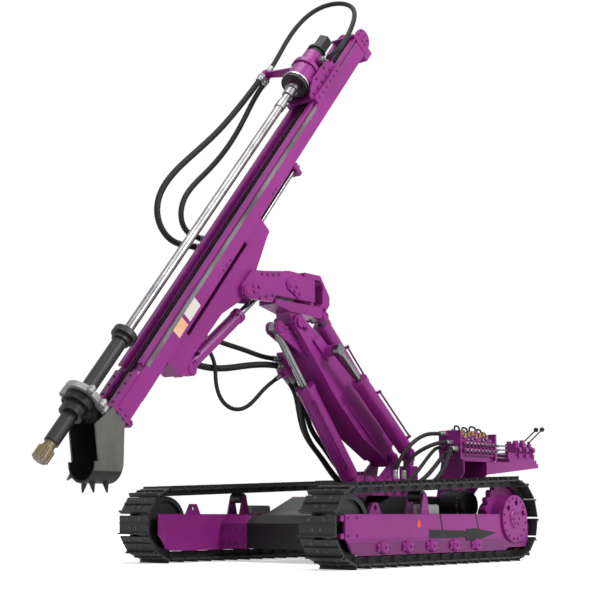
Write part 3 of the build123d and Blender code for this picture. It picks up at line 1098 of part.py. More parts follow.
BLOCK_PORT_Y = -MAST_HALF_WIDTH - 130
ARM_PORT_Y = HOSE_ARM_Y - 14
ARM_PORT_S = HEAD_S + 180
DECK_PORT_Y = DECK_BLOCK_Y[1] - 70
DECK_PORT_Z = BODY_TOP + 150
HOSES = {
    "feed_hose_outer": (56, mast_route([
        (455, ARM_PORT_Y, ARM_PORT_S), (455, ARM_PORT_Y, 3720), (458, -430, 3520), (466, -436, 3270), (490, -436, 2980),
        (545, -430, 2660), (603, -420, 2360), (624, -408, 2130), (608, -396, 1970), (560, -382, 1852), (486, -362, 1768),
        (396, -336, 1722), (304, -308, 1720), (220, -284, 1764), (148.5, BLOCK_PORT_Y, 1823),
        (76.5, BLOCK_PORT_Y, 1877)])),
    "feed_hose_inner": (50, mast_route([
        (397, ARM_PORT_Y, ARM_PORT_S), (397, ARM_PORT_Y, 3740), (384, -427, 3570), (358, -424, 3370), (336, -418, 3140),
        (336, -408, 2880), (362, -398, 2620), (402, -386, 2400), (424, -370, 2230), (420, -350, 2100), (386, -328, 1985),
        (324, -304, 1905), (240, -284, 1884), (160.5, BLOCK_PORT_Y, 1918), (88.5, BLOCK_PORT_Y, 1972)])),
    "head_hose": (44, mast_route([
        (430, ARM_PORT_Y, HEAD_S + 290), (430, ARM_PORT_Y, 4060), (446, -415, 4200), (478, -390, 4360), (508, -345, 4520),
        (520, -280, 4680), (506, -195, 4810), (474, -95, 4880), (440, 10, 4890), (416, 115, 4835), (404, 200, 4735),
        (398, 262, 4610), (392, 300, 4470), (386, 320, 4335), (380, 322, 4222), (372, 300, 4125), (367, 256, 4050),
        (DRILL_T, 200, HEAD_S + 350), (DRILL_T, 135, HEAD_S + 350)])),
    "tilt_hose_thick": (56, [
        (1895, -135, 1600), (1800, -135, 1600), (1690, -138, 1594), (1570, -142, 1582), (1436, -146, 1576),
        (1310, -149, 1584), (1190, -152, 1602), (1040, -155, 1630), (890, -159, 1654), (760, -163, 1668),
        (650, -165, 1672), (545, -165, 1672)]),
    "tilt_hose_upper": (44, [
        (1715, -135, 1825), (1610, -135, 1825), (1480, -139, 1817), (1350, -146, 1802), (1220, -155, 1788),
        (1090, -166, 1776), (970, -180, 1764), (860, -194, 1751), (755, -206, 1741), (650, -210, 1737), (545, -210, 1737)]),
    "tilt_hose_loop": (36, [
        (1715, -135, 1778), (1640, -135, 1778), (1560, -122, 1755), (1496, -106, 1703), (1456, -96, 1626),
        (1442, -93, 1538), (1436, -93, 1450), (1405, -94, 1366), (1346, -97, 1300), (1266, -102, 1262),
        (1176, -110, 1252), (1087, -120, 1266), (1003, -133, 1297), (925, -148, 1342), (848, -165, 1394),
        (770, -183, 1446), (690, -199, 1494), (602, -207, 1544.5), (515, -207, 1594.7)]),
    "boom_hose_1": (50, [
        (434.3, -160, 1597.3), (370.7, -160, 1533.7), (325, -160, 1455), (299, -160, 1369),
        (285, -160, 1280), (266, -160, 1192), (231, -160, 1109), (178, -160, 1036), (112, -160, 975),
        (39, -160, 919), (-32, -160, 860), (-100, -160, 800), (-170, -160, 745), (-245, -160, 698),
        (-325, -160, 668), (-403, -160, 657), (-480, -160, 657),]),
    "boom_hose_2": (44, [
        (434.3, -222, 1597.3), (370.7, -222, 1533.7), (310, -221, 1464), (278, -221, 1382),
        (258, -220, 1297), (234, -220, 1212), (196, -219, 1131), (141, -219, 1060), (74, -218, 999),
        (2, -218, 943), (-67, -218, 882), (-132, -217, 820), (-197, -217, 762), (-266, -216, 711),
        (-340, -216, 677), (-403, -215, 657), (-480, -215, 657),]),
    "boom_hose_3": (50, [
        (380.3, -166, 1651.3), (316.7, -166, 1587.7), (269, -166, 1518), (242, -166, 1437),
        (228, -166, 1352), (209, -166, 1268), (175, -166, 1188), (124, -166, 1118), (61, -166, 1060),
        (-8, -166, 1006), (-74, -166, 949), (-137, -166, 890), (-200, -166, 836), (-268, -166, 790),
        (-330, -166, 752), (-398, -166, 737), (-480, -166, 737)]),
    "control_hose_1": (36, [
        (VALVE_FRONT_X + 26, STATION_Y + 30, 1040), (-705, STATION_Y + 30, 1040), (-580, STATION_Y + 5, 1012),
        (-472, STATION_Y - 70, 950), (-382, DECK_PORT_Y + 18, 860), (-360, DECK_PORT_Y, DECK_PORT_Z + 66),
        (-360, DECK_PORT_Y, DECK_PORT_Z)]),
    "control_hose_2": (36, [
        (VALVE_FRONT_X + 26, STATION_Y - 40, 1120), (-695, STATION_Y - 40, 1120), (-552, STATION_Y - 55, 1102),
        (-424, STATION_Y - 80, 1040), (-322, STATION_Y - 110, 948), (-258, STATION_Y - 138, 838),
        (-240, DECK_PORT_Y, DECK_PORT_Z + 62), (-240, DECK_PORT_Y, DECK_PORT_Z)]),
}


parts["main_frame"] = make_main_frame()
parts["boom_post"] = make_post()
parts["side_knuckle"] = make_side_knuckle()
parts["boom"] = make_boom()
for name, foot, eye, y, barrel_r, rod_r, share, width in (
        ("lift", LIFT_FOOT, LIFT_EYE, 0, 82, 35, 0.63, LIFT_EYE_WIDTH),
        ("side", SIDE_FOOT, SIDE_EYE, SIDE_Y, 70, 30, 0.72, SIDE_EYE_WIDTH),
        ("tilt", TILT_FOOT, TILT_EYE, 0, 75, 35, 0.92, TILT_EYE_WIDTH),
        ("dump", DUMP_FOOT, DUMP_EYE, 0, 56, 28, 0.66, DUMP_EYE_WIDTH)):
    make_ram(name, foot, eye, y, barrel_r, rod_r, share, width)
parts["yoke"] = make_yoke()
parts["arm"] = make_arm()
parts["cradle"] = make_cradle()
parts["slide_barrel"], parts["slide_rod"] = make_slide_ram()
parts["mast"] = make_mast()
parts["mast_flange"] = [make_flange(), *make_rail_covers()]
parts["centralizer"] = make_centralizer()
parts["guide_housing"] = make_guide_housing()
parts["foot"] = make_foot()
parts["mast_cap"] = [make_mast_cap(), make_chain_wheel()]
parts["feed_chain"] = make_feed_chain()
parts["hose_block"] = make_hose_block()
parts["carriage"] = make_carriage()
head_case, head_ring, parts["head_motor"] = make_head()
parts["head_case"] = [head_case, head_ring]
parts["drill_rod"], parts["hammer"], parts["bit"], parts["guide_bush"] = make_string()
parts["pedestal"] = [make_pedestal(), make_pilot_frame()]
parts["valve_bank"] = make_valve_bank()
parts["pilot_pipes"] = make_pilot_pipes()
parts["pilot_block"] = make_pilot_block()
parts["pilot_levers"] = make_pilot_levers()
parts["power_block"] = make_power_block()

groups = {name: Compound(children=solid if isinstance(solid, list) else [solid]) for name, solid in parts.items()}
boxes = [group.bounding_box() for group in groups.values()]
middle_x = (min(box.min.X for box in boxes) + max(box.max.X for box in boxes)) / 2
for name, (diameter, points) in HOSES.items():
    groups[name] = Compound(children=[make_hose(name, points, diameter)])
for name, group in groups.items():
    export_step(Pos(-middle_x, 0, 0) * group, f"parts/{name}.step")
for name, (x, y, z) in pins.items():
    print("pin", name, round(x - middle_x, 3), round(y, 3), round(z, 3))
print("middle", round(middle_x, 3))
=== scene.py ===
import math

import bmesh
import bpy
from mathutils import Matrix, Vector


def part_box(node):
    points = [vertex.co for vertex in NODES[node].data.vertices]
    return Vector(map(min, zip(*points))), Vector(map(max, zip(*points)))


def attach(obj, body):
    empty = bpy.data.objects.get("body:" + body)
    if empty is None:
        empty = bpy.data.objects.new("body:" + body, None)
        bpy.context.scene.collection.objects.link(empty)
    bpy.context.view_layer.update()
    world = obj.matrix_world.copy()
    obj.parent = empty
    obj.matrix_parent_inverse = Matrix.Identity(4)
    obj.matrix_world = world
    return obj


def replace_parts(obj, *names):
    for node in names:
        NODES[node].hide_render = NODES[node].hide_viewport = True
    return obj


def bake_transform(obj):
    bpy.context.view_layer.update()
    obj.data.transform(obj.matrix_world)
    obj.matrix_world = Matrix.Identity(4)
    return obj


# Crawler drilling rig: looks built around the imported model. Metres, X forward, Y left, Z up.

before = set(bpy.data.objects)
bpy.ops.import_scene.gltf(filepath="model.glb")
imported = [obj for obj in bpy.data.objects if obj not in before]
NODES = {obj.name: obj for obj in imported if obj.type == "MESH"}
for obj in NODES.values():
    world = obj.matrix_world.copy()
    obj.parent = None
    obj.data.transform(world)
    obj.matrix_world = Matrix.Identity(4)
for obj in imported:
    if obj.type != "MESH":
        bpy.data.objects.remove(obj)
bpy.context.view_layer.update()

# The places below are counted from the middle of the tracks, as they are measured on the machine.
IDLER_AXLE_X = 1.180
idler_low, idler_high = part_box("idler_left")
SHIFT = (idler_low.x + idler_high.x) / 2 - IDLER_AXLE_X

MAST_ORIGIN = Vector((2.559 + SHIFT, 0, 1.061))
MAST_ANGLE = math.radians(51.85)
ALONG_MAST = Vector((-math.cos(MAST_ANGLE), 0, math.sin(MAST_ANGLE)))
AHEAD_OF_MAST = Vector((math.sin(MAST_ANGLE), 0, math.cos(MAST_ANGLE)))


def ground_point(x, y, z):
    """A point counted from the middle of the tracks."""
    return Vector((x + SHIFT, y, z))


def mast_point(t, y, s):
    """A point T forward of the mast's back face and S up along it."""
    return MAST_ORIGIN + AHEAD_OF_MAST * t + ALONG_MAST * s + Vector((0, y, 0))

# Camera, light and floor

CAMERA_PLACE = (8.6416, 6.9590, 0.405)
CAMERA_AXES = ((-0.64952, 0.76032, 0.0), (0.12870, 0.10994, 0.98554), (0.74935, 0.64015, -0.16927))
LENS_MM = 74.76
SENSOR_MM = 36.0
FLOOR_HALF = 60.0
FLOOR_COLOUR = (0.86, 0.86, 0.86, 1)
FLOOR_GLOW = 0.52  # near the machine, where its shadow falls
FADE_START = 3.2  # from here the floor runs into the white backdrop
FADE_END = 7.5
FLOOR_Z = -0.006
BACKDROP_STRENGTH = 1.0
SKY_COLOUR = (0.86, 0.88, 0.92, 1)
SKY_STRENGTH = 0.27
LIGHTS = (  # name, place, target, size, watts
    ("key", (-1.5, 9.5, 8.0), (0.5, 0, 1.6), 4.0, 1080),
    ("top", (2.0, 1.0, 11.0), (0.5, 0, 1.5), 6.0, 520),
    ("front", (10.0, 3.0, 3.0), (1.0, 0, 1.5), 5.0, 120))


def make_camera():
    data = bpy.data.cameras.new("camera")
    data.lens = LENS_MM
    data.sensor_width = SENSOR_MM
    camera = bpy.data.objects.new("camera", data)
    bpy.context.scene.collection.objects.link(camera)
    turn = Matrix(CAMERA_AXES).transposed().to_4x4()
    camera.matrix_world = Matrix.Translation(ground_point(*CAMERA_PLACE)) @ turn
    bpy.context.scene.camera = camera


def make_area_light(name, place, target, size, watts):
    data = bpy.data.lights.new(name, "AREA")
    data.shape = "DISK"
    data.size = size
    data.energy = watts
    lamp = bpy.data.objects.new(name, data)
    bpy.context.scene.collection.objects.link(lamp)
    lamp.location = place
    lamp.rotation_mode = "QUATERNION"
    lamp.rotation_quaternion = (Vector(target) - Vector(place)).to_track_quat("-Z", "Y")


def seen_directly(tree):
    """1 for what the camera sees, also in a mirror or through glass, and 0 for light on the object."""
    path = tree.nodes.new("ShaderNodeLightPath")
    share = path.outputs["Is Camera Ray"]
    for name in ("Is Glossy Ray", "Is Transmission Ray"):
        either = tree.nodes.new("ShaderNodeMath")
        either.operation = "MAXIMUM"
        tree.links.new(share, either.inputs[0])
        tree.links.new(path.outputs[name], either.inputs[1])
        share = either.outputs[0]
    return share


def make_world():
    world = bpy.data.worlds.new("studio")
    bpy.context.scene.world = world
    world.use_nodes = True
    tree = world.node_tree
    tree.nodes.clear()
    out = tree.nodes.new("ShaderNodeOutputWorld")
    seen = seen_directly(tree)
    soft = tree.nodes.new("ShaderNodeBackground")
    white = tree.nodes.new("ShaderNodeBackground")
    mix = tree.nodes.new("ShaderNodeMixShader")
    soft.inputs["Color"].default_value = SKY_COLOUR
    soft.inputs["Strength"].default_value = SKY_STRENGTH
    white.inputs["Color"].default_value = (1, 1, 1, 1)
    white.inputs["Strength"].default_value = BACKDROP_STRENGTH
    tree.links.new(seen, mix.inputs[0])
    tree.links.new(soft.outputs[0], mix.inputs[1])
    tree.links.new(white.outputs[0], mix.inputs[2])
    tree.links.new(mix.outputs[0], out.inputs["Surface"])


def make_floor():
    mesh = bpy.data.meshes.new("floor")
    corners = [(x * FLOOR_HALF, y * FLOOR_HALF, FLOOR_Z) for x, y in ((-1, -1), (1, -1), (1, 1), (-1, 1))]
    mesh.from_pydata(corners, [], [(0, 1, 2, 3)])
    floor = bpy.data.objects.new("floor", mesh)
    bpy.context.scene.collection.objects.link(floor)
    material = bpy.data.materials.new("floor")
    material.use_nodes = True
    shader = material.node_tree.nodes["Principled BSDF"]
    shader.inputs["Base Color"].default_value = FLOOR_COLOUR
    shader.inputs["Roughness"].default_value = 0.9
    tree = material.node_tree
    place = tree.nodes.new("ShaderNodeTexCoord")
    distance = tree.nodes.new("ShaderNodeVectorMath")
    distance.operation = "LENGTH"
    fade = tree.nodes.new("ShaderNodeMapRange")
    fade.inputs["From Min"].default_value = FADE_START
    fade.inputs["From Max"].default_value = FADE_END
    fade.inputs["To Min"].default_value = FLOOR_GLOW
    fade.inputs["To Max"].default_value = BACKDROP_STRENGTH
    tree.links.new(place.outputs["Object"], distance.inputs[0])
    tree.links.new(distance.outputs["Value"], fade.inputs["Value"])
    tree.links.new(fade.outputs["Result"], shader.inputs["Emission Color"])
    tree.links.new(seen_directly(tree), shader.inputs["Emission Strength"])
    mesh.materials.append(material)


make_camera()
make_world()
make_floor()
for light in LIGHTS:
    make_area_light(*light)
bpy.context.scene.view_settings.view_transform = "Standard"

# Shader maths: a wrapped socket that adds its nodes as an expression is written


class Sock:
    """A shader value or vector that can be added, multiplied and compared."""

    def __init__(self, tree, socket):
        self.tree = tree
        self.socket = socket

    def math(self, operation, *others):
        node = self.tree.nodes.new("ShaderNodeMath")
        node.operation = operation
        for place, value in zip(node.inputs, (self, *others)):
            if isinstance(value, Sock):
                self.tree.links.new(value.socket, place)
            else:
                place.default_value = value
        return Sock(self.tree, node.outputs[0])

    def __add__(self, other):
        return self.math("ADD", other)

    __radd__ = __add__

    def __mul__(self, other):
        return self.math("MULTIPLY", other)

    __rmul__ = __mul__

    def __sub__(self, other):
        return self.math("SUBTRACT", other)

    def __rsub__(self, other):
        return self.math("MULTIPLY", -1.0) + other

    def __truediv__(self, other):
        return self.math("DIVIDE", other)

    def __lt__(self, other):
        return self.math("LESS_THAN", other)

    def clamp(self):
        node = self.tree.nodes.new("ShaderNodeClamp")
        self.tree.links.new(self.socket, node.inputs[0])
        return Sock(self.tree, node.outputs[0])

    def band(self, low, high):
        """0 below low, 1 above high, smooth between."""
        return ((self - low) / (high - low)).clamp()


class Finish:
    """One material's node tree, with short calls for its nodes."""

    def __init__(self, name):
        self.material = bpy.data.materials.new(name)
        self.material.use_nodes = True
        self.tree = self.material.node_tree
        self.shader = self.tree.nodes["Principled BSDF"]
        self.place = self.node("ShaderNodeTexCoord", {}, {}, "Object")

    def node(self, kind, settings, values, output=0):
        made = self.tree.nodes.new(kind)
        for key, value in settings.items():
            setattr(made, key, value)
        for key, value in values.items():
            if isinstance(value, Sock):
                self.tree.links.new(value.socket, made.inputs[key])
            else:
                made.inputs[key].default_value = value
        return Sock(self.tree, made.outputs[output])

    def noise(self, scale, detail=4.0, roughness=0.55, stretch=(1, 1, 1)):
        place = self.node("ShaderNodeMapping", {}, {"Vector": self.place, "Scale": stretch})
        return self.node("ShaderNodeTexNoise", {}, {"Vector": place, "Scale": scale, "Detail": detail,
                                                   "Roughness": roughness}, "Fac")

    def part_of_place(self, axis):
        return self.node("ShaderNodeSeparateXYZ", {}, {"Vector": self.place}, axis)

    def mix(self, share, first, second):
        return self.node("ShaderNodeMix", {"data_type": "RGBA"}, {0: share, 6: first, 7: second}, 2)

    def bump(self, height, strength, distance):
        return self.node("ShaderNodeBump", {}, {"Height": height, "Strength": strength, "Distance": distance})

    def set(self, **values):
        for key, value in values.items():
            place = self.shader.inputs[key.replace("_", " ")]
            if isinstance(value, Sock):
                self.tree.links.new(value.socket, place)
            else:
                place.default_value = value
        return self.material


def rgb(red, green, blue):
    """A screen colour of 0 to 255 as the linear colour a shader takes."""
    def linear(value):
        share = value / 255
        return share / 12.92 if share <= 0.04045 else ((share + 0.055) / 1.055) ** 2.4
    return (linear(red), linear(green), linear(blue), 1.0)


PURPLE = rgb(136, 38, 123)
PURPLE_DARK = rgb(120, 28, 108)
PURPLE_LIGHT = rgb(152, 56, 139)
BLACK_PAINT = rgb(17, 17, 18)
TRACK_STEEL = rgb(46, 45, 46)
TRACK_WORN = rgb(120, 118, 116)
DUST = rgb(120, 112, 104)
FOOT_INNER_HALF = 0.1365  # the foot's inner face, from the middle
BODY_HALF = 0.562  # the box under the deck, to its sides and up to its edge
DECK_EDGE = 0.553


def enamel(f, base, under_deck_black_and_shade, light):
    """The paint's colour, with the slow drift and the speckle that it is made of."""
    drift = f.noise(1.3, 3.0)
    speckle = f.noise(24.0, 6.0, 0.7)
    colour = f.mix(drift.band(0.35, 0.7), base, under_deck_black_and_shade)
    return f.mix(speckle.band(0.62, 0.75) * 0.35, colour, light), drift, speckle


def make_paint(name, base, under_deck_black_and_shade, light, gloss):
    """Machine enamel: slow colour drift, orange-peel bump, dust in the low places."""
    f = Finish(name)
    colour, drift, speckle = enamel(f, base, under_deck_black_and_shade, light)
    dust = f.noise(5.0, 8.0, 0.65).band(0.58, 0.85) * 0.18
    colour = f.mix(dust, colour, DUST)
    peel = f.noise(260.0, 2.0, 0.5)
    waves = f.noise(9.0, 2.0, 0.5)
    normal = f.bump(peel * 0.4 + waves, 0.10, 0.004)
    rough = gloss + speckle * 0.14 + dust * 0.8
    return f.set(Base_Color=colour, Roughness=rough, Normal=normal, Specular_IOR_Level=0.28)


def make_steel(name, base, worn, rough, grain, metallic=1.0):
    """Bare or oiled steel with fine scratches."""
    f = Finish(name)
    streak = f.noise(grain, 4.0, 0.6, (1, 6, 1))
    cloud = f.noise(3.0, 5.0, 0.6)
    colour = f.mix(cloud.band(0.4, 0.7), base, worn)
    normal = f.bump(streak, 0.12, 0.002)
    return f.set(Base_Color=colour, Roughness=streak * 0.18 + rough, Metallic=metallic, Normal=normal)


def make_track_steel():
    """Dark rolled shoes, rubbed bright on the grousers."""
    f = Finish("track_steel")
    cloud = f.noise(6.0, 6.0, 0.65)
    grit = f.noise(90.0, 6.0, 0.7)
    colour = f.mix(cloud.band(0.42, 0.72), TRACK_STEEL, rgb(42, 42, 44))
    colour = f.mix(grit.band(0.6, 0.75) * 0.5, colour, TRACK_WORN)
    normal = f.bump(grit + cloud, 0.35, 0.004)
    return f.set(Base_Color=colour, Roughness=grit * 0.25 + 0.42, Metallic=0.55, Normal=normal)


def make_frame_paint():
    """Purple enamel, with the sides of the box under the deck in black: partly the black hoses and parts
    there, partly painted shade under the deck.
    """
    f = Finish("main_frame_paint_and_shade")
    # Near black under the deck, partly for the black hoses and parts there and partly as painted shade
    # between the tracks.
    under_deck_black_and_shade = (f.part_of_place("Y").math("ABSOLUTE") < BODY_HALF) * (f.part_of_place("Z") < DECK_EDGE)
    colour, drift, speckle = enamel(f, PURPLE, PURPLE_DARK, PURPLE_LIGHT)
    colour = f.mix(under_deck_black_and_shade, colour, rgb(13, 12, 13))
    return f.set(Base_Color=colour, Roughness=speckle * 0.14 + 0.34, Normal=f.bump(drift, 0.1, 0.004),
                 Specular_IOR_Level=0.25)


def make_foot_grey():
    """Bare grey plate outside; inside the trough near black, as painted shade in the hollow."""
    f = Finish("foot_grey")
    outside = f.part_of_place("Y").math("ABSOLUTE").band(FOOT_INNER_HALF, FOOT_INNER_HALF + 0.001)
    cloud = f.noise(7.0, 6.0, 0.65)
    grit = f.noise(70.0, 4.0, 0.6)
    colour = f.mix(cloud.band(0.4, 0.75), rgb(92, 92, 88), rgb(74, 74, 71))
    # Inside the trough the plate is near black: painted shade in the trough's hollow.
    colour = f.mix(outside, rgb(13, 13, 13), colour)
    return f.set(Base_Color=colour, Roughness=grit * 0.2 + 0.5, Normal=f.bump(grit + cloud, 0.2, 0.003),
                 Specular_IOR_Level=0.3)


def make_rubber(name, base):
    f = Finish(name)
    cloud = f.noise(12.0, 5.0, 0.6)
    weave = f.noise(420.0, 2.0, 0.5)
    colour = f.mix(cloud.band(0.45, 0.8), base, rgb(30, 30, 31))
    return f.set(Base_Color=colour, Roughness=cloud * 0.2 + 0.45, Normal=f.bump(weave, 0.2, 0.0015),
                 Specular_IOR_Level=0.22)


PAINT = make_paint("purple_paint", PURPLE, PURPLE_DARK, PURPLE_LIGHT, 0.30)
BLACK = make_paint("black_paint", BLACK_PAINT, rgb(10, 10, 11), rgb(44, 44, 46), 0.42)
GREY = make_steel("grey_casting", rgb(150, 150, 150), rgb(110, 110, 112), 0.42, 40.0, 0.6)
CHROME = make_steel("chrome_rod", rgb(132, 131, 133), rgb(98, 98, 100), 0.16, 60.0)
STEEL = make_steel("bright_steel", rgb(138, 136, 138), rgb(88, 86, 90), 0.26, 60.0)
DARK_STEEL = make_steel("dark_steel", rgb(24, 23, 24), rgb(12, 12, 13), 0.40, 30.0, 0.25)
BIT_STEEL = make_steel("bit_steel", rgb(120, 106, 82), rgb(70, 62, 50), 0.36, 50.0, 0.8)
FRAME_PAINT = make_frame_paint()
FOOT_GREY = make_foot_grey()
TRACK = make_track_steel()
RUBBER = make_rubber("hose_rubber", rgb(9, 9, 10))
PAINT_DARK = make_paint("dark_purple_paint", rgb(112, 36, 101), rgb(92, 24, 84), PURPLE, 0.34)
TRACK_BOLT = make_steel("shoe_bolt_steel", rgb(96, 94, 92), rgb(60, 60, 60), 0.42, 40.0, 0.7)
BAND_STEEL = make_steel("band_steel", rgb(205, 205, 205), rgb(165, 165, 168), 0.24, 60.0)
SILVER = make_steel("collar_steel", rgb(150, 150, 150), rgb(96, 96, 98), 0.32, 50.0, 0.85)
BRASS = make_steel("brass_fitting", rgb(176, 150, 96), rgb(128, 104, 62), 0.30, 50.0, 0.9)
CHAIN_STEEL = make_steel("chain_steel", rgb(58, 58, 60), rgb(34, 34, 36), 0.40, 40.0, 0.8)
STRIP_GREY = make_steel("strip_grey", rgb(112, 110, 112), rgb(64, 62, 64), 0.5, 30.0, 0.4)
LABEL_CREAM = make_paint("cream_plate", rgb(206, 198, 192), rgb(206, 198, 192), rgb(236, 232, 226), 0.45)
LABEL_ORANGE = make_paint("orange_plate", rgb(224, 196, 172), rgb(214, 158, 120), rgb(240, 222, 206), 0.45)
MARK_BLACK = make_paint("black_marking", rgb(14, 12, 14), rgb(10, 10, 10), rgb(30, 28, 30), 0.45)
MARK_ORANGE = make_paint("orange_marking", rgb(214, 92, 52), rgb(200, 80, 44), rgb(226, 120, 80), 0.4)

# Hoses. A route repeats the solid tube's points in millimetres, and the hose is one spline through them.
# Feed and head hoses are counted as T, Y and S on the mast, the others from the middle of the tracks.

BLOCK_PORT_Y = -260
ARM_PORT_Y = -424

FEED_HOSE_OUTER = (
    (455, ARM_PORT_Y, 3850), (455, ARM_PORT_Y, 3720), (458, -430, 3520), (466, -436, 3270),
    (490, -436, 2980), (545, -430, 2660), (603, -420, 2360), (624, -408, 2130), (608, -396, 1970),
    (560, -382, 1852), (486, -362, 1768), (396, -336, 1722), (304, -308, 1720), (220, -284, 1764),
    (148.5, BLOCK_PORT_Y, 1823), (76.5, BLOCK_PORT_Y, 1877))
FEED_HOSE_INNER = (
    (397, ARM_PORT_Y, 3850), (397, ARM_PORT_Y, 3740), (384, -427, 3570), (358, -424, 3370),
    (336, -418, 3140), (336, -408, 2880), (362, -398, 2620), (402, -386, 2400), (424, -370, 2230),
    (420, -350, 2100), (386, -328, 1985), (324, -304, 1905), (240, -284, 1884), (160.5, BLOCK_PORT_Y, 1918),
    (88.5, BLOCK_PORT_Y, 1972))
HEAD_HOSE = (
    (430, ARM_PORT_Y, 3960), (430, ARM_PORT_Y, 4060), (446, -415, 4200), (478, -390, 4360),
    (508, -345, 4520), (520, -280, 4680), (506, -195, 4810), (474, -95, 4880), (440, 10, 4890),
    (416, 115, 4835), (404, 200, 4735), (398, 262, 4610), (392, 300, 4470), (386, 320, 4335),
    (380, 322, 4222), (372, 300, 4125), (367, 256, 4050), (365, 200, 4020), (365, 135, 4020))
TILT_HOSE_THICK = (
    (1895, -135, 1600), (1800, -135, 1600), (1690, -138, 1594), (1570, -142, 1582), (1436, -146, 1576),
    (1310, -149, 1584), (1190, -152, 1602), (1040, -155, 1630), (890, -159, 1654), (760, -163, 1668),
    (650, -165, 1672), (545, -165, 1672))
TILT_HOSE_UPPER = (
    (1715, -135, 1825), (1610, -135, 1825), (1480, -139, 1817), (1350, -146, 1802), (1220, -155, 1788),
    (1090, -166, 1776), (970, -180, 1764), (860, -194, 1751), (755, -206, 1741), (650, -210, 1737),
    (545, -210, 1737))
TILT_HOSE_LOOP = (
    (1715, -135, 1778), (1640, -135, 1778), (1560, -122, 1755), (1496, -106, 1703), (1456, -96, 1626),
    (1442, -93, 1538), (1436, -93, 1450), (1405, -94, 1366), (1346, -97, 1300), (1266, -102, 1262),
    (1176, -110, 1252), (1087, -120, 1266), (1003, -133, 1297), (925, -148, 1342), (848, -165, 1394),
    (770, -183, 1446), (690, -199, 1494), (602, -207, 1544.5), (515, -207, 1594.7))
BOOM_HOSE_1 = (
    (434.3, -160, 1597.3), (370.7, -160, 1533.7), (325, -160, 1455), (299, -160, 1369), (285, -160, 1280),
    (266, -160, 1192), (231, -160, 1109), (178, -160, 1036), (112, -160, 975), (39, -160, 919),
    (-32, -160, 860), (-100, -160, 800), (-170, -160, 745), (-245, -160, 698), (-325, -160, 668),
    (-403, -160, 657), (-480, -160, 657))
BOOM_HOSE_2 = (
    (434.3, -222, 1597.3), (370.7, -222, 1533.7), (310, -221, 1464), (278, -221, 1382), (258, -220, 1297),
    (234, -220, 1212), (196, -219, 1131), (141, -219, 1060), (74, -218, 999), (2, -218, 943),
    (-67, -218, 882), (-132, -217, 820), (-197, -217, 762), (-266, -216, 711), (-340, -216, 677),
    (-403, -215, 657), (-480, -215, 657))
BOOM_HOSE_3 = (
    (380.3, -166, 1651.3), (316.7, -166, 1587.7), (269, -166, 1518), (242, -166, 1437), (228, -166, 1352),
    (209, -166, 1268), (175, -166, 1188), (124, -166, 1118), (61, -166, 1060), (-8, -166, 1006),
    (-74, -166, 949), (-137, -166, 890), (-200, -166, 836), (-268, -166, 790), (-330, -166, 752),
    (-398, -166, 737), (-480, -166, 737))
CONTROL_HOSE_1 = (
    (-840, 650, 1040), (-705, 650, 1040), (-580, 625, 1012), (-472, 550, 950), (-382, 488, 860),
    (-360, 470, 776), (-360, 470, 710))
CONTROL_HOSE_2 = (
    (-840, 580, 1120), (-695, 580, 1120), (-552, 565, 1102), (-424, 540, 1040), (-322, 510, 948),
    (-258, 482, 838), (-240, 470, 772), (-240, 470, 710))
VALVE_HOSE_1 = (
    (-840, 700, 985), (-755, 702, 980), (-680, 728, 928), (-610, 750, 856), (-520, 770, 776),
    (-422, 778, 706), (-335, 760, 656), (-268, 704, 628), (-240, 634, 620), (-240, 570, 620))
VALVE_HOSE_2 = (
    (-840, 645, 945), (-745, 655, 940), (-640, 688, 902), (-520, 720, 846), (-400, 748, 786),
    (-292, 760, 726), (-208, 745, 676), (-148, 698, 640), (-120, 634, 621), (-120, 570, 620))
VALVE_HOSE_3 = (
    (-840, 570, 995), (-750, 576, 995), (-660, 604, 980), (-540, 648, 942), (-410, 690, 888),
    (-285, 722, 824), (-172, 738, 752), (-86, 728, 690), (-28, 690, 646), (0, 634, 622), (0, 570, 620))
WRAP_PITCH = 0.020
WRAP_DEPTH = 0.15
HOSE_SIDES = 14


def spline_points(name, points):
    """Points along the NURBS line of a route."""
    data = bpy.data.curves.new(name, "CURVE")
    data.dimensions = "3D"
    data.resolution_u = 12
    line = data.splines.new("NURBS")
    line.points.add(len(points) - 1)
    for spot, point in zip(line.points, points):
        spot.co = (*point, 1)
    line.order_u = 3
    line.use_endpoint_u = True
    holder = bpy.data.objects.new(name, data)
    mesh = bpy.data.meshes.new_from_object(holder)
    found = [vertex.co.copy() for vertex in mesh.vertices]
    bpy.data.objects.remove(holder)
    bpy.data.curves.remove(data)
    bpy.data.meshes.remove(mesh)
    return found


def run_lengths(line):
    """Distance from the line's start to each of its points."""
    total = [0.0]
    for before, here in zip(line, line[1:]):
        total.append(total[-1] + (here - before).length)
    return total


def on_line(line, lengths, distance):
    """The place on a line at a distance from its start."""
    for i in range(len(line) - 1):
        if distance <= lengths[i + 1] or i == len(line) - 2:
            share = (distance - lengths[i]) / max(lengths[i + 1] - lengths[i], 1e-9)
            return line[i].lerp(line[i + 1], min(max(share, 0.0), 1.0))
    return line[-1]


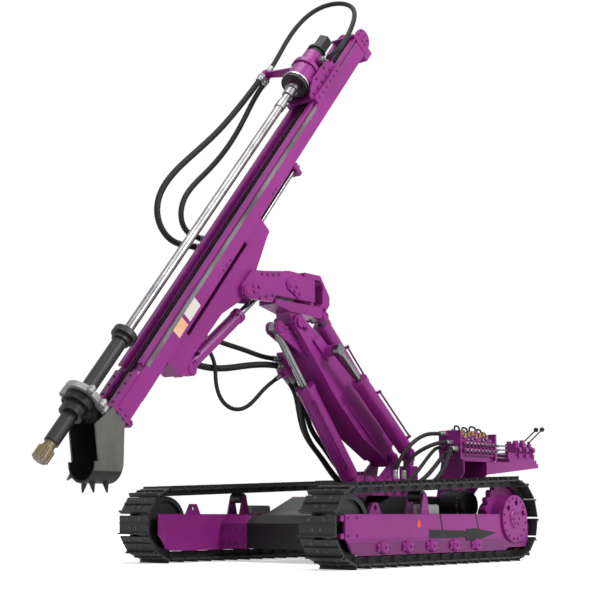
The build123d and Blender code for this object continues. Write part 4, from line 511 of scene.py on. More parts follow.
def tube_mesh(name, line, radius_at, step, sides=HOSE_SIDES):
    """A closed round tube along a line, with a radius that may change along it."""
    lengths = run_lengths(line)
    count = max(2, round(lengths[-1] / step))
    centres = [on_line(line, lengths, lengths[-1] * i / count) for i in range(count + 1)]
    vertices, faces = [], []
    across = None
    for i, centre in enumerate(centres):
        ahead = (centres[min(i + 1, count)] - centres[max(i - 1, 0)]).normalized()
        if across is None:
            across = ahead.orthogonal().normalized()
        across = (across - ahead * across.dot(ahead)).normalized()
        other = ahead.cross(across)
        radius = radius_at(lengths[-1] * i / count)
        for k in range(sides):
            turn = 2 * math.pi * k / sides
            vertices.append(centre + (across * math.cos(turn) + other * math.sin(turn)) * radius)
    for i in range(count):
        for k in range(sides):
            a = i * sides + k
            b = i * sides + (k + 1) % sides
            faces.append((a, b, b + sides, a + sides))
    faces.append(tuple(reversed(range(sides))))
    faces.append(tuple(count * sides + k for k in range(sides)))
    mesh = bpy.data.meshes.new(name)
    mesh.from_pydata(vertices, [], faces)
    for polygon in mesh.polygons:
        polygon.use_smooth = len(polygon.vertices) == 4
    return mesh


def make_hose(node, points, diameter, wrapped, spans):
    """One hose, as a piece for each span of it. A span is (end share, body before, body after)."""
    line = spline_points(node, points)
    lengths = run_lengths(line)
    start_share = 0.0
    for number, (end_share, near, far) in enumerate(spans):
        low, high = start_share * lengths[-1], end_share * lengths[-1]
        part = [on_line(line, lengths, low)]
        part += [p for p, at in zip(line, lengths) if low + 0.004 < at < high - 0.004]
        part.append(on_line(line, lengths, high))
        radius = diameter / 2

        def swell(distance):
            if not wrapped:
                return radius
            return radius * (1 + WRAP_DEPTH * (math.cos(2 * math.pi * distance / WRAP_PITCH) - 1) / 2)

        step = WRAP_PITCH / 4 if wrapped else 0.02
        name = f"{node}_{number + 1}"
        piece = bpy.data.objects.new(name, tube_mesh(name, part, swell, step))
        bpy.context.scene.collection.objects.link(piece)
        piece.data.materials.append(RUBBER)
        if near == far:
            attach(piece, near)
        else:
            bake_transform(piece)
        run_lengths(part)[-1]
        if node in NODES:
            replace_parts(piece, node)
        start_share = end_share


def on_mast(route):
    return [mast_point(*(value / 1000 for value in point)) for point in route]


def on_ground(route):
    return [ground_point(*(value / 1000 for value in point)) for point in route]


ON_HEAD = ((1.0, "head", "head"),)
ON_CARRIER = ((1.0, "carrier", "carrier"),)
FEED_SPANS = ((1.0, "head", "mast"),)
BOOM_SPANS = ((1.0, "boom", "boom_post"),)
TILT_SPANS = ((0.38, "cradle", "arm"), (0.66, "arm", "yoke"), (1.0, "yoke", "boom"))
LOOP_SPANS = ((0.42, "cradle", "arm"), (0.66, "arm", "yoke"), (1.0, "yoke", "boom"))
HOSES = (  # name, route, diameter, wrapped, spans
    ("feed_hose_outer", on_mast(FEED_HOSE_OUTER), 0.056, True, FEED_SPANS),
    ("feed_hose_inner", on_mast(FEED_HOSE_INNER), 0.050, True, FEED_SPANS),
    ("head_hose", on_mast(HEAD_HOSE), 0.044, False, ON_HEAD),
    ("tilt_hose_thick", on_ground(TILT_HOSE_THICK), 0.056, True, TILT_SPANS),
    ("tilt_hose_upper", on_ground(TILT_HOSE_UPPER), 0.044, True, TILT_SPANS),
    ("tilt_hose_loop", on_ground(TILT_HOSE_LOOP), 0.036, True, LOOP_SPANS),
    ("boom_hose_1", on_ground(BOOM_HOSE_1), 0.050, True, BOOM_SPANS),
    ("boom_hose_2", on_ground(BOOM_HOSE_2), 0.044, True, BOOM_SPANS),
    ("boom_hose_3", on_ground(BOOM_HOSE_3), 0.050, True, BOOM_SPANS),
    ("control_hose_1", on_ground(CONTROL_HOSE_1), 0.036, False, ON_CARRIER),
    ("control_hose_2", on_ground(CONTROL_HOSE_2), 0.036, False, ON_CARRIER),
    ("valve_hose_1", on_ground(VALVE_HOSE_1), 0.042, True, ON_CARRIER),
    ("valve_hose_2", on_ground(VALVE_HOSE_2), 0.039, True, ON_CARRIER),
    ("valve_hose_3", on_ground(VALVE_HOSE_3), 0.033, True, ON_CARRIER))

for hose in HOSES:
    make_hose(*hose)

# Shapes: turned pieces and plates in their own axes, then put in place in their mesh

SHARP_ANGLE = math.radians(34)


def axes_at(origin, facing, across):
    """Axes at an origin, with Z along facing and X as near to across as it can be."""
    z = Vector(facing).normalized()
    x = Vector(across)
    x = (x - z * x.dot(z)).normalized()
    return Matrix.Translation(origin) @ Matrix((x, z.cross(x), z)).transposed().to_4x4()


def circle(radius, count, start=0.0):
    """Points evenly round a circle, the first at an angle in radians."""
    turns = [2 * math.pi * i / count + start for i in range(count)]
    return [(radius * math.cos(a), radius * math.sin(a)) for a in turns]


def turned(profile, sides=24, hollow=False):
    """A solid of revolution about Z from (radius, height) pairs. A hollow one closes on its first pair."""
    shape = bmesh.new()
    rings = []
    for radius, height in profile:
        rings.append([shape.verts.new((x, y, height)) for x, y in circle(radius, sides)])
    for low, high in zip(rings, rings[1:] + rings[:1] if hollow else rings[1:]):
        for k in range(sides):
            shape.faces.new((low[k], low[(k + 1) % sides], high[(k + 1) % sides], high[k]))
    if not hollow:
        shape.faces.new(list(reversed(rings[0])))
        shape.faces.new(rings[-1])
    return shape


def plate(outline, low, high, edge=0.0):
    """A flat piece with this outline in X and Y, between two heights, its upper rim bevelled."""
    shape = bmesh.new()
    bottom = [shape.verts.new((x, y, low)) for x, y in outline]
    top = [shape.verts.new((x, y, high)) for x, y in outline]
    shape.faces.new(list(reversed(bottom)))
    shape.faces.new(top)
    for k in range(len(outline)):
        after = (k + 1) % len(outline)
        shape.faces.new((bottom[k], bottom[after], top[after], top[k]))
    if edge:
        rim = [e for e in shape.edges if e.verts[0] in top and e.verts[1] in top]
        bmesh.ops.bevel(shape, geom=rim, offset=edge, segments=2, affect="EDGES", clamp_overlap=True)
    return shape


def oblong(x0, x1, y0, y1):
    return [(x0, y0), (x1, y0), (x1, y1), (x0, y1)]


def arc_points(centre, radius, start, end, count):
    """Points on a circle between two angles in degrees."""
    turns = [math.radians(start + (end - start) * i / (count - 1)) for i in range(count)]
    return [(centre[0] + radius * math.cos(a), centre[1] + radius * math.sin(a)) for a in turns]


def joined(*shapes):
    """Several shapes in one."""
    whole = bmesh.new()
    for shape in shapes:
        mesh = bpy.data.meshes.new("part")
        shape.to_mesh(mesh)
        shape.free()
        whole.from_mesh(mesh)
        bpy.data.meshes.remove(mesh)
    return whole


def as_mesh(name, shape, place=None):
    if place is not None:
        shape.transform(place)
    bmesh.ops.recalc_face_normals(shape, faces=shape.faces)
    for face in shape.faces:
        face.smooth = True
    for edge in shape.edges:
        edge.smooth = len(edge.link_faces) == 2 and edge.calc_face_angle(0) < SHARP_ANGLE
    mesh = bpy.data.meshes.new(name)
    shape.to_mesh(mesh)
    shape.free()
    return mesh


def add_piece(name, shape, place, material, body="carrier"):
    """One finished piece that rides on a body."""
    piece = bpy.data.objects.new(name, as_mesh(name, shape, place))
    bpy.context.scene.collection.objects.link(piece)
    piece.data.materials.append(material)
    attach(piece, body)
    return piece

# Repeats: one node tree puts a unit on every spot of a cloud of points

SPOT_VALUES = (
    ("facing", "FLOAT_VECTOR", "vector"), ("across", "FLOAT_VECTOR", "vector"), ("size", "FLOAT", "value"))


def make_spread_tree():
    tree = bpy.data.node_groups.new("spread", "GeometryNodeTree")
    for name, kind in (("Spots", "Geometry"), ("Unit", "Object"), ("Size", "Float"), ("Finish", "Material")):
        tree.interface.new_socket(name, in_out="INPUT", socket_type="NodeSocket" + kind)
    tree.interface.new_socket("Result", in_out="OUTPUT", socket_type="NodeSocketGeometry")
    given, result, unit, turn, twist, facing, across, size, scale, put, real, coat = (
        tree.nodes.new(kind) for kind in (
            "NodeGroupInput", "NodeGroupOutput", "GeometryNodeObjectInfo",
            "FunctionNodeAlignRotationToVector", "FunctionNodeAlignRotationToVector",
            "GeometryNodeInputNamedAttribute", "GeometryNodeInputNamedAttribute",
            "GeometryNodeInputNamedAttribute", "ShaderNodeMath", "GeometryNodeInstanceOnPoints",
            "GeometryNodeRealizeInstances", "GeometryNodeSetMaterial"))
    turn.axis = "Z"
    twist.axis = "X"
    twist.pivot_axis = "Z"
    scale.operation = "MULTIPLY"
    for node, (name, kind, field) in zip((facing, across, size), SPOT_VALUES):
        node.data_type = kind
        node.inputs["Name"].default_value = name
    for start, value, end, entry in (
            (given, "Unit", unit, "Object"), (facing, "Attribute", turn, "Vector"),
            (turn, "Rotation", twist, "Rotation"), (across, "Attribute", twist, "Vector"),
            (size, "Attribute", scale, 0), (given, "Size", scale, 1), (given, "Spots", put, "Points"),
            (unit, "Geometry", put, "Instance"), (twist, "Rotation", put, "Rotation"),
            (scale, 0, put, "Scale"), (put, "Instances", real, "Geometry"),
            (real, "Geometry", coat, "Geometry"), (given, "Finish", coat, "Material"),
            (coat, "Geometry", result, "Result")):
        tree.links.new(start.outputs[value], end.inputs[entry])
    return tree


SPREAD = make_spread_tree()


def spread(name, spots, unit, material, body="carrier", size=1.0):
    """A unit on every spot, as one plain mesh. A spot is (place, facing, across, size)."""
    cloud = bpy.data.meshes.new(name + "_spots")
    cloud.from_pydata([spot[0] for spot in spots], [], [])
    for index, (key, kind, field) in enumerate(SPOT_VALUES):
        layer = cloud.attributes.new(key, kind, "POINT")
        for entry, spot in zip(layer.data, spots):
            setattr(entry, field, spot[index + 1])
    holder = bpy.data.objects.new(name + "_spots", cloud)
    bpy.context.scene.collection.objects.link(holder)
    source = bpy.data.objects.new(name + "_unit", unit.copy())
    bpy.context.scene.collection.objects.link(source)
    modifier = holder.modifiers.new("spread", "NODES")
    modifier.node_group = SPREAD
    for item in SPREAD.interface.items_tree:
        if item.in_out == "INPUT" and item.name in ("Unit", "Size", "Finish"):
            modifier[item.identifier] = {"Unit": source, "Size": size, "Finish": material}[item.name]
    bpy.context.view_layer.update()
    seen = holder.evaluated_get(bpy.context.evaluated_depsgraph_get())
    piece = bpy.data.objects.new(name, bpy.data.meshes.new_from_object(seen))
    piece.data.name = name
    for spare in (holder, source):
        bpy.data.objects.remove(spare)
    bpy.context.scene.collection.objects.link(piece)
    if not piece.data.materials:
        piece.data.materials.append(material)
    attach(piece, body)
    return piece


def hexagon(radius, x=0.0, y=0.0):
    return [(x + a, y + b) for a, b in circle(radius, 6)]


BOLT = as_mesh("bolt", joined(turned([(1.35, 0.0), (1.35, 0.16), (1.25, 0.22)], 12),
                              plate(hexagon(1.0), 0.2, 0.86, 0.1)))
CAP_SCREW = as_mesh("cap_screw", turned([(1.0, 0.0), (1.0, 0.82), (0.88, 1.0), (0.55, 1.0), (0.50, 0.6)], 10))
FITTING = as_mesh("fitting", joined(
    plate(hexagon(1.0), 0.0, 0.9, 0.1),
    turned([(0.66, 0.85), (0.66, 1.5), (0.82, 1.55), (0.82, 2.3), (0.7, 2.4)], 12)))
BUTTON = as_mesh("button", turned([(1.0, -0.3), (1.0, 0.2), (0.8, 0.65), (0.4, 0.95), (0.05, 1.02)], 8))
UP = Vector((0, 0, 1))
LEFT = Vector((0, 1, 0))
AHEAD = Vector((1, 0, 0))
SIDES = ((1, "left"), (-1, "right"))


def spots_at(points, facing, across, size):
    """Spots that all face one way, at places counted from the middle of the tracks."""
    return [(ground_point(*point), facing, across, size) for point in points]


def spots_on_mast(points, facing, across, size):
    return [(mast_point(*point), facing, across, size) for point in points]

# Tracks: bolts and ribs on the shoes, link plates and pins of the chain

SHOE_COUNT = 39
TRACK_Y = 1.0
LOOP_CENTRES = ((1.180, 0.320), (-1.085, 0.365))
LOOP_RADII = (0.320, 0.365)
SHOE_FACE_INSET = 0.024
LINK_INSET = 0.061
SHOE_BACK_INSET = 0.036


def loop_runs(inset):
    """The track loop's runs, drawn in from its grousers' tips: length, then place and angle at a share."""
    (ax, az), (bx, bz) = LOOP_CENTRES
    ra, rb = (radius - inset for radius in LOOP_RADII)
    run = math.hypot(bx - ax, bz - az)
    slope = math.atan2(bz - az, bx - ax) - math.pi
    lean = math.asin((rb - ra) / run)
    top = math.pi / 2 + slope - lean
    low = -math.pi / 2 + slope + lean

    def on_arc(x, z, radius, angle):
        return (x + radius * math.cos(angle), z + radius * math.sin(angle))

    def straight(start, end, angle):
        return run * math.cos(lean), lambda f: ((start[0] + (end[0] - start[0]) * f,
                                                 start[1] + (end[1] - start[1]) * f), angle)

    def bend(x, z, radius, start, end):
        return radius * (end - start), lambda f: (on_arc(x, z, radius, start + (end - start) * f),
                                                  start + (end - start) * f)

    return [straight(on_arc(ax, az, ra, top), on_arc(bx, bz, rb, top), top),
            bend(bx, bz, rb, top, low + 2 * math.pi),
            straight(on_arc(bx, bz, rb, low), on_arc(ax, az, ra, low), low),
            bend(ax, az, ra, low, top)]


def shoe_places():
    """Each shoe's middle on its inner face, with its outward and forward directions, in X and Z."""
    runs = loop_runs(SHOE_BACK_INSET)
    total = sum(length for length, place in runs)
    middle = total - runs[-1][0] / 2
    places = []
    for i in range(SHOE_COUNT):
        distance = (middle + i * total / SHOE_COUNT) % total
        for length, place in runs:
            if distance <= length:
                (x, z), angle = place(distance / length)
                out = Vector((math.cos(angle), 0, math.sin(angle)))
                places.append((Vector((x, 0, z)), out, Vector((-out.z, 0, out.x))))
                break
            distance -= length
    return places


SHOE_BOLTS = ((-0.073, 0.048), (-0.037, -0.022), (0.037, -0.022), (0.073, 0.048))  # across, along
LINK_ROW_Y = 0.055
LINK_GAP = 0.017
LINK_OUTLINE = ((-0.058, 0.0), (-0.030, -0.012), (0.030, -0.012), (0.058, 0.0), (0.030, 0.012),
                (-0.030, 0.012))


def dress_tracks():
    rib = as_mesh("rib", plate(oblong(-0.168, 0.168, -0.006, 0.006), 0.0, 0.013, 0.003))
    boss = turned([(0.026, 0.0), (0.026, 0.006), (0.023, 0.008)], 14)
    pin = turned([(0.012, 0.006), (0.012, 0.013), (0.009, 0.015)], 10)
    link = as_mesh("link", joined(plate(LINK_OUTLINE, 0.0, 0.004, 0.001), boss, pin))
    for side, label in SIDES:
        bolts, ribs, links = [], [], []
        for place, out, along in shoe_places():
            spot = ground_point(place.x, side * TRACK_Y, place.z)
            face = spot + out * (SHOE_BACK_INSET - SHOE_FACE_INSET)
            depth = spot - out * (LINK_INSET - SHOE_BACK_INSET)
            bolts += [(face + LEFT * y + along * ahead, out, along, 0.0105) for y, ahead in SHOE_BOLTS]
            ribs.append((face + along * 0.012, out, LEFT, 1.0))
            for row in (-LINK_ROW_Y, LINK_ROW_Y):
                links += [(depth + LEFT * (row + way * LINK_GAP), LEFT * way, along, 1.0) for way in (-1, 1)]
        spread(f"track_{label}_shoe_bolts", bolts, BOLT, TRACK_BOLT)
        spread(f"track_{label}_shoe_ribs", ribs, rib, TRACK)
        spread(f"track_{label}_links", links, link, TRACK)


dress_tracks()

# Track frames: outer plates, roller hoods, drive bolts, and the markings on the left side

FRAME_FACE_Y = 1.125
FRAME_PLATE = 0.006
COVER_FACE_Y = 1.150
COVER_X, COVER_Z = -1.085, 0.365
ROLLER_XS = (0.840, 0.511, 0.182, -0.147, -0.476)
ROLLER_Z = 0.152
PLATE_OUTLINE = ((1.306, 0.402), (1.306, 0.214), (-0.858, 0.214), (-0.878, 0.300), (-0.860, 0.402))
GUARD_OUTLINE = ((1.215, 0.118), (1.125, 0.100), (-0.930, 0.100), (-0.985, 0.120), (-0.905, 0.196),
                 (1.262, 0.196))
REAR_BOLTS = tuple((x - z * 0.3, z) for x in (-1.117, -1.167) for z in (0.160, 0.195, 0.240, 0.280))
PLATE_BOLTS = ((1.16, 0.375), (1.16, 0.245), (1.27, 0.375), (1.27, 0.245))
BRACKET_XS = (1.300, 1.352)
BRACKET_HEIGHTS = ((0.350, 0.395), (0.222, 0.262))


def dress_frame(side, label):
    out = LEFT * side
    face = axes_at(ground_point(0, side * FRAME_FACE_Y, 0), out, AHEAD)

    def flipped(points):
        return [(x, -z * side) for x, z in points]

    def spots_out(points, y, size):
        return spots_at([(x, side * y, z) for x, z in points], out, AHEAD, size)

    def on_cover(count, radius, y, size, start=0.0):
        return spots_out([(COVER_X + a, COVER_Z + b) for a, b in circle(radius, count, start)], y, size)

    outer = plate(flipped(PLATE_OUTLINE), 0.0, FRAME_PLATE, 0.003)
    guard = plate(flipped(GUARD_OUTLINE), 0.0, FRAME_PLATE / 2, 0.0015)
    add_piece(f"frame_{label}_plate", outer, face, PAINT)
    add_piece(f"frame_{label}_guard", guard, face, PAINT_DARK)
    hood = joined(turned([(0.050, 0.0), (0.050, 0.012), (0.040, 0.026), (0.022, 0.032)], 22),
                  plate(oblong(-0.080, 0.080, -0.030, 0.030), 0.0, 0.012, 0.003))
    hoods = spots_out([(x, ROLLER_Z) for x in ROLLER_XS], FRAME_FACE_Y + FRAME_PLATE / 2, 1.0)
    spread(f"frame_{label}_roller_hoods", hoods, as_mesh("hood", hood), PAINT)
    bolts = []
    for x in ROLLER_XS:
        bolts += spots_out([(x - 0.066, ROLLER_Z), (x + 0.066, ROLLER_Z)], FRAME_FACE_Y + 0.014, 0.009)
        bolts += spots_out([(x, ROLLER_Z)], FRAME_FACE_Y + 0.034, 0.011)
    bolts += spots_out(REAR_BOLTS, FRAME_FACE_Y, 0.009)
    bolts += spots_out(PLATE_BOLTS, FRAME_FACE_Y + FRAME_PLATE, 0.009)
    spread(f"frame_{label}_bolts", bolts, BOLT, PAINT_DARK)
    ring = on_cover(16, 0.178, COVER_FACE_Y, 0.010, math.pi / 16)
    ring += on_cover(6, 0.052, COVER_FACE_Y + 0.012, 0.009)
    spread(f"cover_{label}_bolts", ring, BOLT, PAINT_DARK)
    hub = turned([(0.085, 0.0), (0.085, 0.006), (0.078, 0.012), (0.030, 0.012), (0.026, 0.016)], 32)
    middle = axes_at(ground_point(COVER_X, side * COVER_FACE_Y, COVER_Z), out, AHEAD)
    add_piece(f"cover_{label}_hub", hub, middle, PAINT)
    for low, high in BRACKET_HEIGHTS:
        bracket = plate(oblong(*BRACKET_XS, -low * side, -high * side), -0.035, 0.0, 0.002)
        add_piece(f"frame_{label}_front_{round(low * 1000)}", bracket, face, PAINT)


for side, label in SIDES:
    dress_frame(side, label)

FILM = 0.0012
ARROW = ((0.224, -0.213), (0.036, -0.212), (-0.318, -0.214), (-0.318, -0.186), (-0.457, -0.182),
         (-0.800, -0.248), (-0.457, -0.286), (-0.318, -0.284), (-0.318, -0.268), (0.036, -0.278),
         (0.224, -0.281))
STRIPES = ((0.052, 0.022), (-0.482, -0.520))  # X at the foot and at the top
STRIPE_WIDTH = 0.018


def dress_left_markings():
    """Black arrow with its two upright stripes, and the orange drop, as thin films on the left plate."""
    face = axes_at(ground_point(0, FRAME_FACE_Y + FRAME_PLATE, 0), LEFT, AHEAD)
    add_piece("arrow_marking", plate(ARROW, 0.0, FILM), face, MARK_BLACK)
    for number, (x0, x1) in enumerate(STRIPES):
        outline = [(x0, -0.402), (x1, -0.275), (x1 + STRIPE_WIDTH, -0.275), (x0 + STRIPE_WIDTH, -0.402)]
        add_piece(f"stripe_marking_{number + 1}", plate(outline, 0.0, FILM), face, MARK_BLACK)
    drop = [(0.360, -0.368)] + [(x, -z) for x, z in arc_points((0.360, 0.322), 0.026, 150, 390, 17)]
    add_piece("drop_marking", plate(drop, 0.0, FILM), face, MARK_ORANGE)


dress_left_markings()

# Head: bolts, bands, the black collar and the motor's screws

HEAD_S = 3.670
DRILL_T = 0.365
HEAD_ROWS = (  # T, Y, heights over the head's foot, bolt size
    (0.235, 0.134, (0.02, 0.11, 0.20, 0.29, 0.38), 0.009),
    (0.182, 0.170, (0.02, 0.10, 0.18, 0.26, 0.34, 0.42), 0.008),
    (0.295, 0.134, (0.16, 0.33), 0.010))
HEAD_ROUNDS = (  # name, height over the head's foot, up or down, sides, hollow, material, profile
    ("head_collar_black", 0.0, -1, 40, True, BLACK,
     ((0.068, 0.004), (0.120, 0.004), (0.125, 0.0), (0.125, -0.026), (0.108, -0.032), (0.068, -0.010))),
    ("head_band_1", 0.034, 1, 40, True, BAND_STEEL,
     ((0.106, 0.0), (0.128, 0.0), (0.128, 0.010), (0.106, 0.010))),
    ("head_band_2", 0.050, 1, 40, True, BAND_STEEL,
     ((0.106, 0.0), (0.120, 0.0), (0.120, 0.006), (0.106, 0.006))))
MOTOR_FLANGE = ("motor_flange", 0.506, 1, 30, False, BLACK, ((0.088, 0.0), (0.088, 0.012), (0.082, 0.016)))
CLEAR_T = DRILL_T - 0.030  # behind this the carriage hides the flange's bolts


def ring_on_mast(s, radius, count, facing, size, start=0.0):
    """Spots in a circle round the drill's axis that face up the mast, or down it for -1."""
    ring = [(DRILL_T + x, y, s) for x, y in circle(radius, count, start)]
    return spots_on_mast(ring, ALONG_MAST * facing, AHEAD_OF_MAST, size)


def add_round(name, s, facing, sides, hollow, material, profile):
    place = axes_at(mast_point(DRILL_T, 0, HEAD_S + s), ALONG_MAST * facing, LEFT)
    add_piece(name, turned(profile, sides, hollow), place, material, "head")


def dress_head():
    bolts = []
    for s, radius, facing in ((HEAD_S + 0.230, 0.119, -1), (HEAD_S + 0.275, 0.111, 1)):
        ring = ring_on_mast(s, radius, 14, facing, 0.007, 0.2)
        bolts += [spot for spot in ring if (spot[0] - mast_point(CLEAR_T, 0, s)).dot(AHEAD_OF_MAST) > 0]
    bolts += ring_on_mast(HEAD_S + 0.440, 0.084, 10, 1, 0.006)
    for side, label in SIDES:
        for at, y, rows, size in HEAD_ROWS:
            bolts += spots_on_mast([(at, side * y, HEAD_S + s) for s in rows], LEFT * side, ALONG_MAST, size)
    spread("head_bolts", bolts, BOLT, PAINT_DARK, "head", 1.35)
    for entry in HEAD_ROUNDS:
        add_round(*entry)
    screws = ring_on_mast(HEAD_S + 0.700, 0.056, 6, 1, 0.007, 0.52)
    spread("motor_screws", screws, CAP_SCREW, DARK_STEEL, "head")
    add_round(*MOTOR_FLANGE)


dress_head()

# Hose ends: a hexagon nut and a pressed collar at every port

SLEEVE = (  # share of the hose's radius, height
    (1.02, 0.016), (1.20, 0.020), (1.20, 0.040), (1.14, 0.044), (1.20, 0.048), (1.20, 0.068), (1.04, 0.074))


def collar_at(name, start, ahead, radius, body):
    way = (ahead - start).normalized()
    nut = plate(hexagon(radius * 1.34), -0.012, 0.020, 0.002)
    sleeve = turned([(radius * share, height) for share, height in SLEEVE], 22)
    across = LEFT if abs(way.dot(LEFT)) < 0.9 else UP
    add_piece(name, joined(nut, sleeve), axes_at(start, way, across), SILVER, body)


for name, route, diameter, wrapped, spans in HOSES:
    collar_at(name + "_collar_1", route[0], route[1], diameter / 2, spans[0][1])
    collar_at(name + "_collar_2", route[-1], route[-2], diameter / 2, spans[-1][2])

# Carrier: travel motors, the grey blocks, bolts of the cross beams, and the valves' screws and fittings

TRAVEL_MOTOR = ((0.120, 0.0), (0.128, 0.004), (0.128, 0.030), (0.138, 0.036), (0.138, 0.205),
                (0.128, 0.214), (0.128, 0.250), (0.110, 0.275), (0.060, 0.280))
BEAM_XS = (0.420, -0.560)
SWING_X = -0.560


def add_pipe(name, points, radius, material, body="carrier"):
    """A bent steel pipe on one smooth line."""
    mesh = tube_mesh(name, spline_points(name, points), lambda distance: radius, 0.012, 10)
    piece = bpy.data.objects.new(name, mesh)
    bpy.context.scene.collection.objects.link(piece)
    mesh.materials.append(material)
    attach(piece, body)


def dress_carrier():
    for side, label in SIDES:
        start = ground_point(-0.86, side * 0.565, 0.480)
        out = LEFT * side
        add_piece(f"travel_motor_{label}", turned(TRAVEL_MOTOR, 36), axes_at(start, out, AHEAD), BLACK)
        ring = [(start + out * 0.206 + AHEAD * x + UP * z, out, AHEAD, 0.007) for x, z in circle(0.133, 12)]
        spread(f"travel_motor_{label}_bolts", ring, BOLT, SILVER)
        box = plate(oblong(-0.130, 0.115, -0.045, 0.045), 0.0, 0.078, 0.008)
        add_piece(f"frame_{label}_block", box, axes_at(ground_point(0, side * 0.945, 0.405), UP, AHEAD), GREY)
    bolts = []
    for x in BEAM_XS:
        for side, label in SIDES:
            front = [(x + 0.130, side * y, z) for y in (0.60, 0.68, 0.76, 0.84) for z in (0.285, 0.150)]
            bolts += spots_at(front, AHEAD, LEFT, 0.012)
            bolts += spots_at([(x - 0.03, side * y, 0.395) for y in (0.62, 0.72, 0.82)], UP, AHEAD, 0.012)
    bolts += spots_at([(SWING_X + x, y, 0.600) for x, y in circle(0.172, 18)], UP, AHEAD, 0.009)
    for side, label in SIDES:
        walls = [(x, side * 0.560, z) for x in (-1.25, -1.12, -0.99) for z in (0.52, 0.58)]
        bolts += spots_at(walls, LEFT * side, AHEAD, 0.010)
    spread("carrier_bolts", bolts, BOLT, PAINT_DARK)


VALVE_XS = tuple(-1.45 + (i + 0.5) * 0.062 for i in range(9))
VALVE_RISES = (0.0, 0.026, 0.012)
VALVE_FRONT_X = -0.866
VALVE_REAR_X = -1.476
STATION_Y = 0.620
VALVE_PIPES = ((-1.388, 0.055, 0.10), (-1.264, 0.075, 0.13), (-1.140, 0.060, 0.11), (-1.016, 0.070, 0.10))
PIPE_FOOT_Z = 1.135


def dress_valves():
    screws, brass, silver = [], [], []
    for i, x in enumerate(VALVE_XS):
        rise = VALVE_RISES[i % 3]
        for side, label in SIDES:
            y = STATION_Y + side * 0.110
            places = [(x + way, y, z) for z in (0.952, 1.005, 1.062) for way in (-0.021, 0.021)]
            screws += spots_at(places, LEFT * side, UP, 0.0045)
            silver += spots_at([(x, y + side * 0.024, z) for z in (0.975, 1.035)], LEFT * side, UP, 0.011)
        brass += spots_at([(x, STATION_Y + 0.050, 1.092 + rise)], UP, AHEAD, 0.018)
        silver += spots_at([(x, STATION_Y - 0.045, 1.108 + rise)], UP, AHEAD, 0.017)
        silver += spots_at([(x + 0.012, STATION_Y + 0.094, 1.058 + rise)], UP, AHEAD, 0.011)
    for y in (STATION_Y - 0.10, STATION_Y + 0.10):
        screws += spots_at([(VALVE_FRONT_X, y, z) for z in (0.91, 1.03, 1.14)], AHEAD, UP, 0.008)
        screws += spots_at([(VALVE_REAR_X, y, z) for z in (0.90, 1.02, 1.13)], -AHEAD, UP, 0.008)
    starts = (VALVE_HOSE_1[0], VALVE_HOSE_2[0], VALVE_HOSE_3[0])
    ports = [(VALVE_FRONT_X, y / 1000, z / 1000) for x, y, z in starts]
    spread("valve_screws", screws, CAP_SCREW, DARK_STEEL)
    spread("valve_brass_fittings", brass, FITTING, BRASS)
    spread("valve_fittings", silver, FITTING, SILVER)
    spread("valve_front_fittings", spots_at(ports, AHEAD, UP, 0.020), FITTING, PAINT)
    for number, (x, lift, reach) in enumerate(VALVE_PIPES):
        top, y = PIPE_FOOT_Z + lift, STATION_Y - 0.045
        line = [(x, y, PIPE_FOOT_Z), (x, y, top), (x - reach * 0.4, y - 0.005, top),
                (x - reach, y - 0.010, PIPE_FOOT_Z + lift * 0.9), (x - reach, y - 0.010, PIPE_FOOT_Z - 0.01)]
        add_pipe(f"valve_pipe_{number + 1}", [ground_point(*point) for point in line], 0.009, BLACK)
    pilot = []
    for x in (-2.21, -2.08, -1.95):
        places = [(x + way, STATION_Y + 0.062, z) for z in (0.945, 1.00) for way in (-0.022, 0.022)]
        pilot += spots_at(places, LEFT, UP, 0.0045)
        pilot += spots_at([(x, STATION_Y + 0.092, 1.019)], LEFT, UP, 0.010)
    spread("pilot_screws", pilot, CAP_SCREW, SILVER)


dress_carrier()
dress_valves()

# Pin ends: a round cap with a bolted keeper bar on every pivot

KEEPER_BOLTS = ((0.070, 0.022), (0.070, -0.022), (0.135, 0.0))
PIN_CAP = as_mesh("pin_cap", joined(
    turned([(0.048, 0.0), (0.048, 0.007), (0.044, 0.011), (0.020, 0.011), (0.016, 0.006)], 24),
    plate(((0.030, -0.014), (0.088, -0.014), (0.098, 0.0), (0.088, 0.014), (0.030, 0.014)),
          0.0, 0.016, 0.003),
    plate(hexagon(0.011, 0.074), 0.016, 0.026, 0.002)))
KEEPER = as_mesh("keeper", joined(
    plate(arc_points((0, 0), 0.052, 60, 300, 14) + arc_points((0.12, 0), 0.046, -60, 60, 10),
          0.0, 0.014, 0.004),
    turned([(0.030, 0.013), (0.030, 0.020), (0.026, 0.023)], 18),
    *(plate(hexagon(0.013, *spot), 0.013, 0.026, 0.002) for spot in KEEPER_BOLTS)))
PIVOTS = (  # body, X, Z, Y, the bar's direction, size
    ("boom_post", -0.700, 0.900, 0.122, (1, 0, 0.4), 1.0),
    ("boom_post", -0.220, 0.690, 0.062, (1, 0, -0.6), 0.9),
    ("boom", 0.640, 2.020, 0.135, (-0.8, 0, -0.6), 1.0),
    ("boom", 0.820, 1.960, 0.060, (-1, 0, 0.1), 0.9),
    ("cradle", 1.889, 1.510, 0.092, (-0.4, 0, 0.9), 0.9),
    ("yoke", 0.262, 2.120, 0.095, (0.3, 0, 1), 0.8))
ARM_FACE_Y = 0.130
ARM_PINS = ((1.310, 2.200, (-0.9, 0, 0.35)), (0.780, 2.330, (-0.85, 0, -0.55)))
ARM_BOLTS = ((0.92, 2.395), (0.99, 2.385), (1.06, 2.375), (1.13, 2.370), (1.00, 2.205), (1.08, 2.185),
             (1.16, 2.165))
YOKE_BOLT_X = 0.450


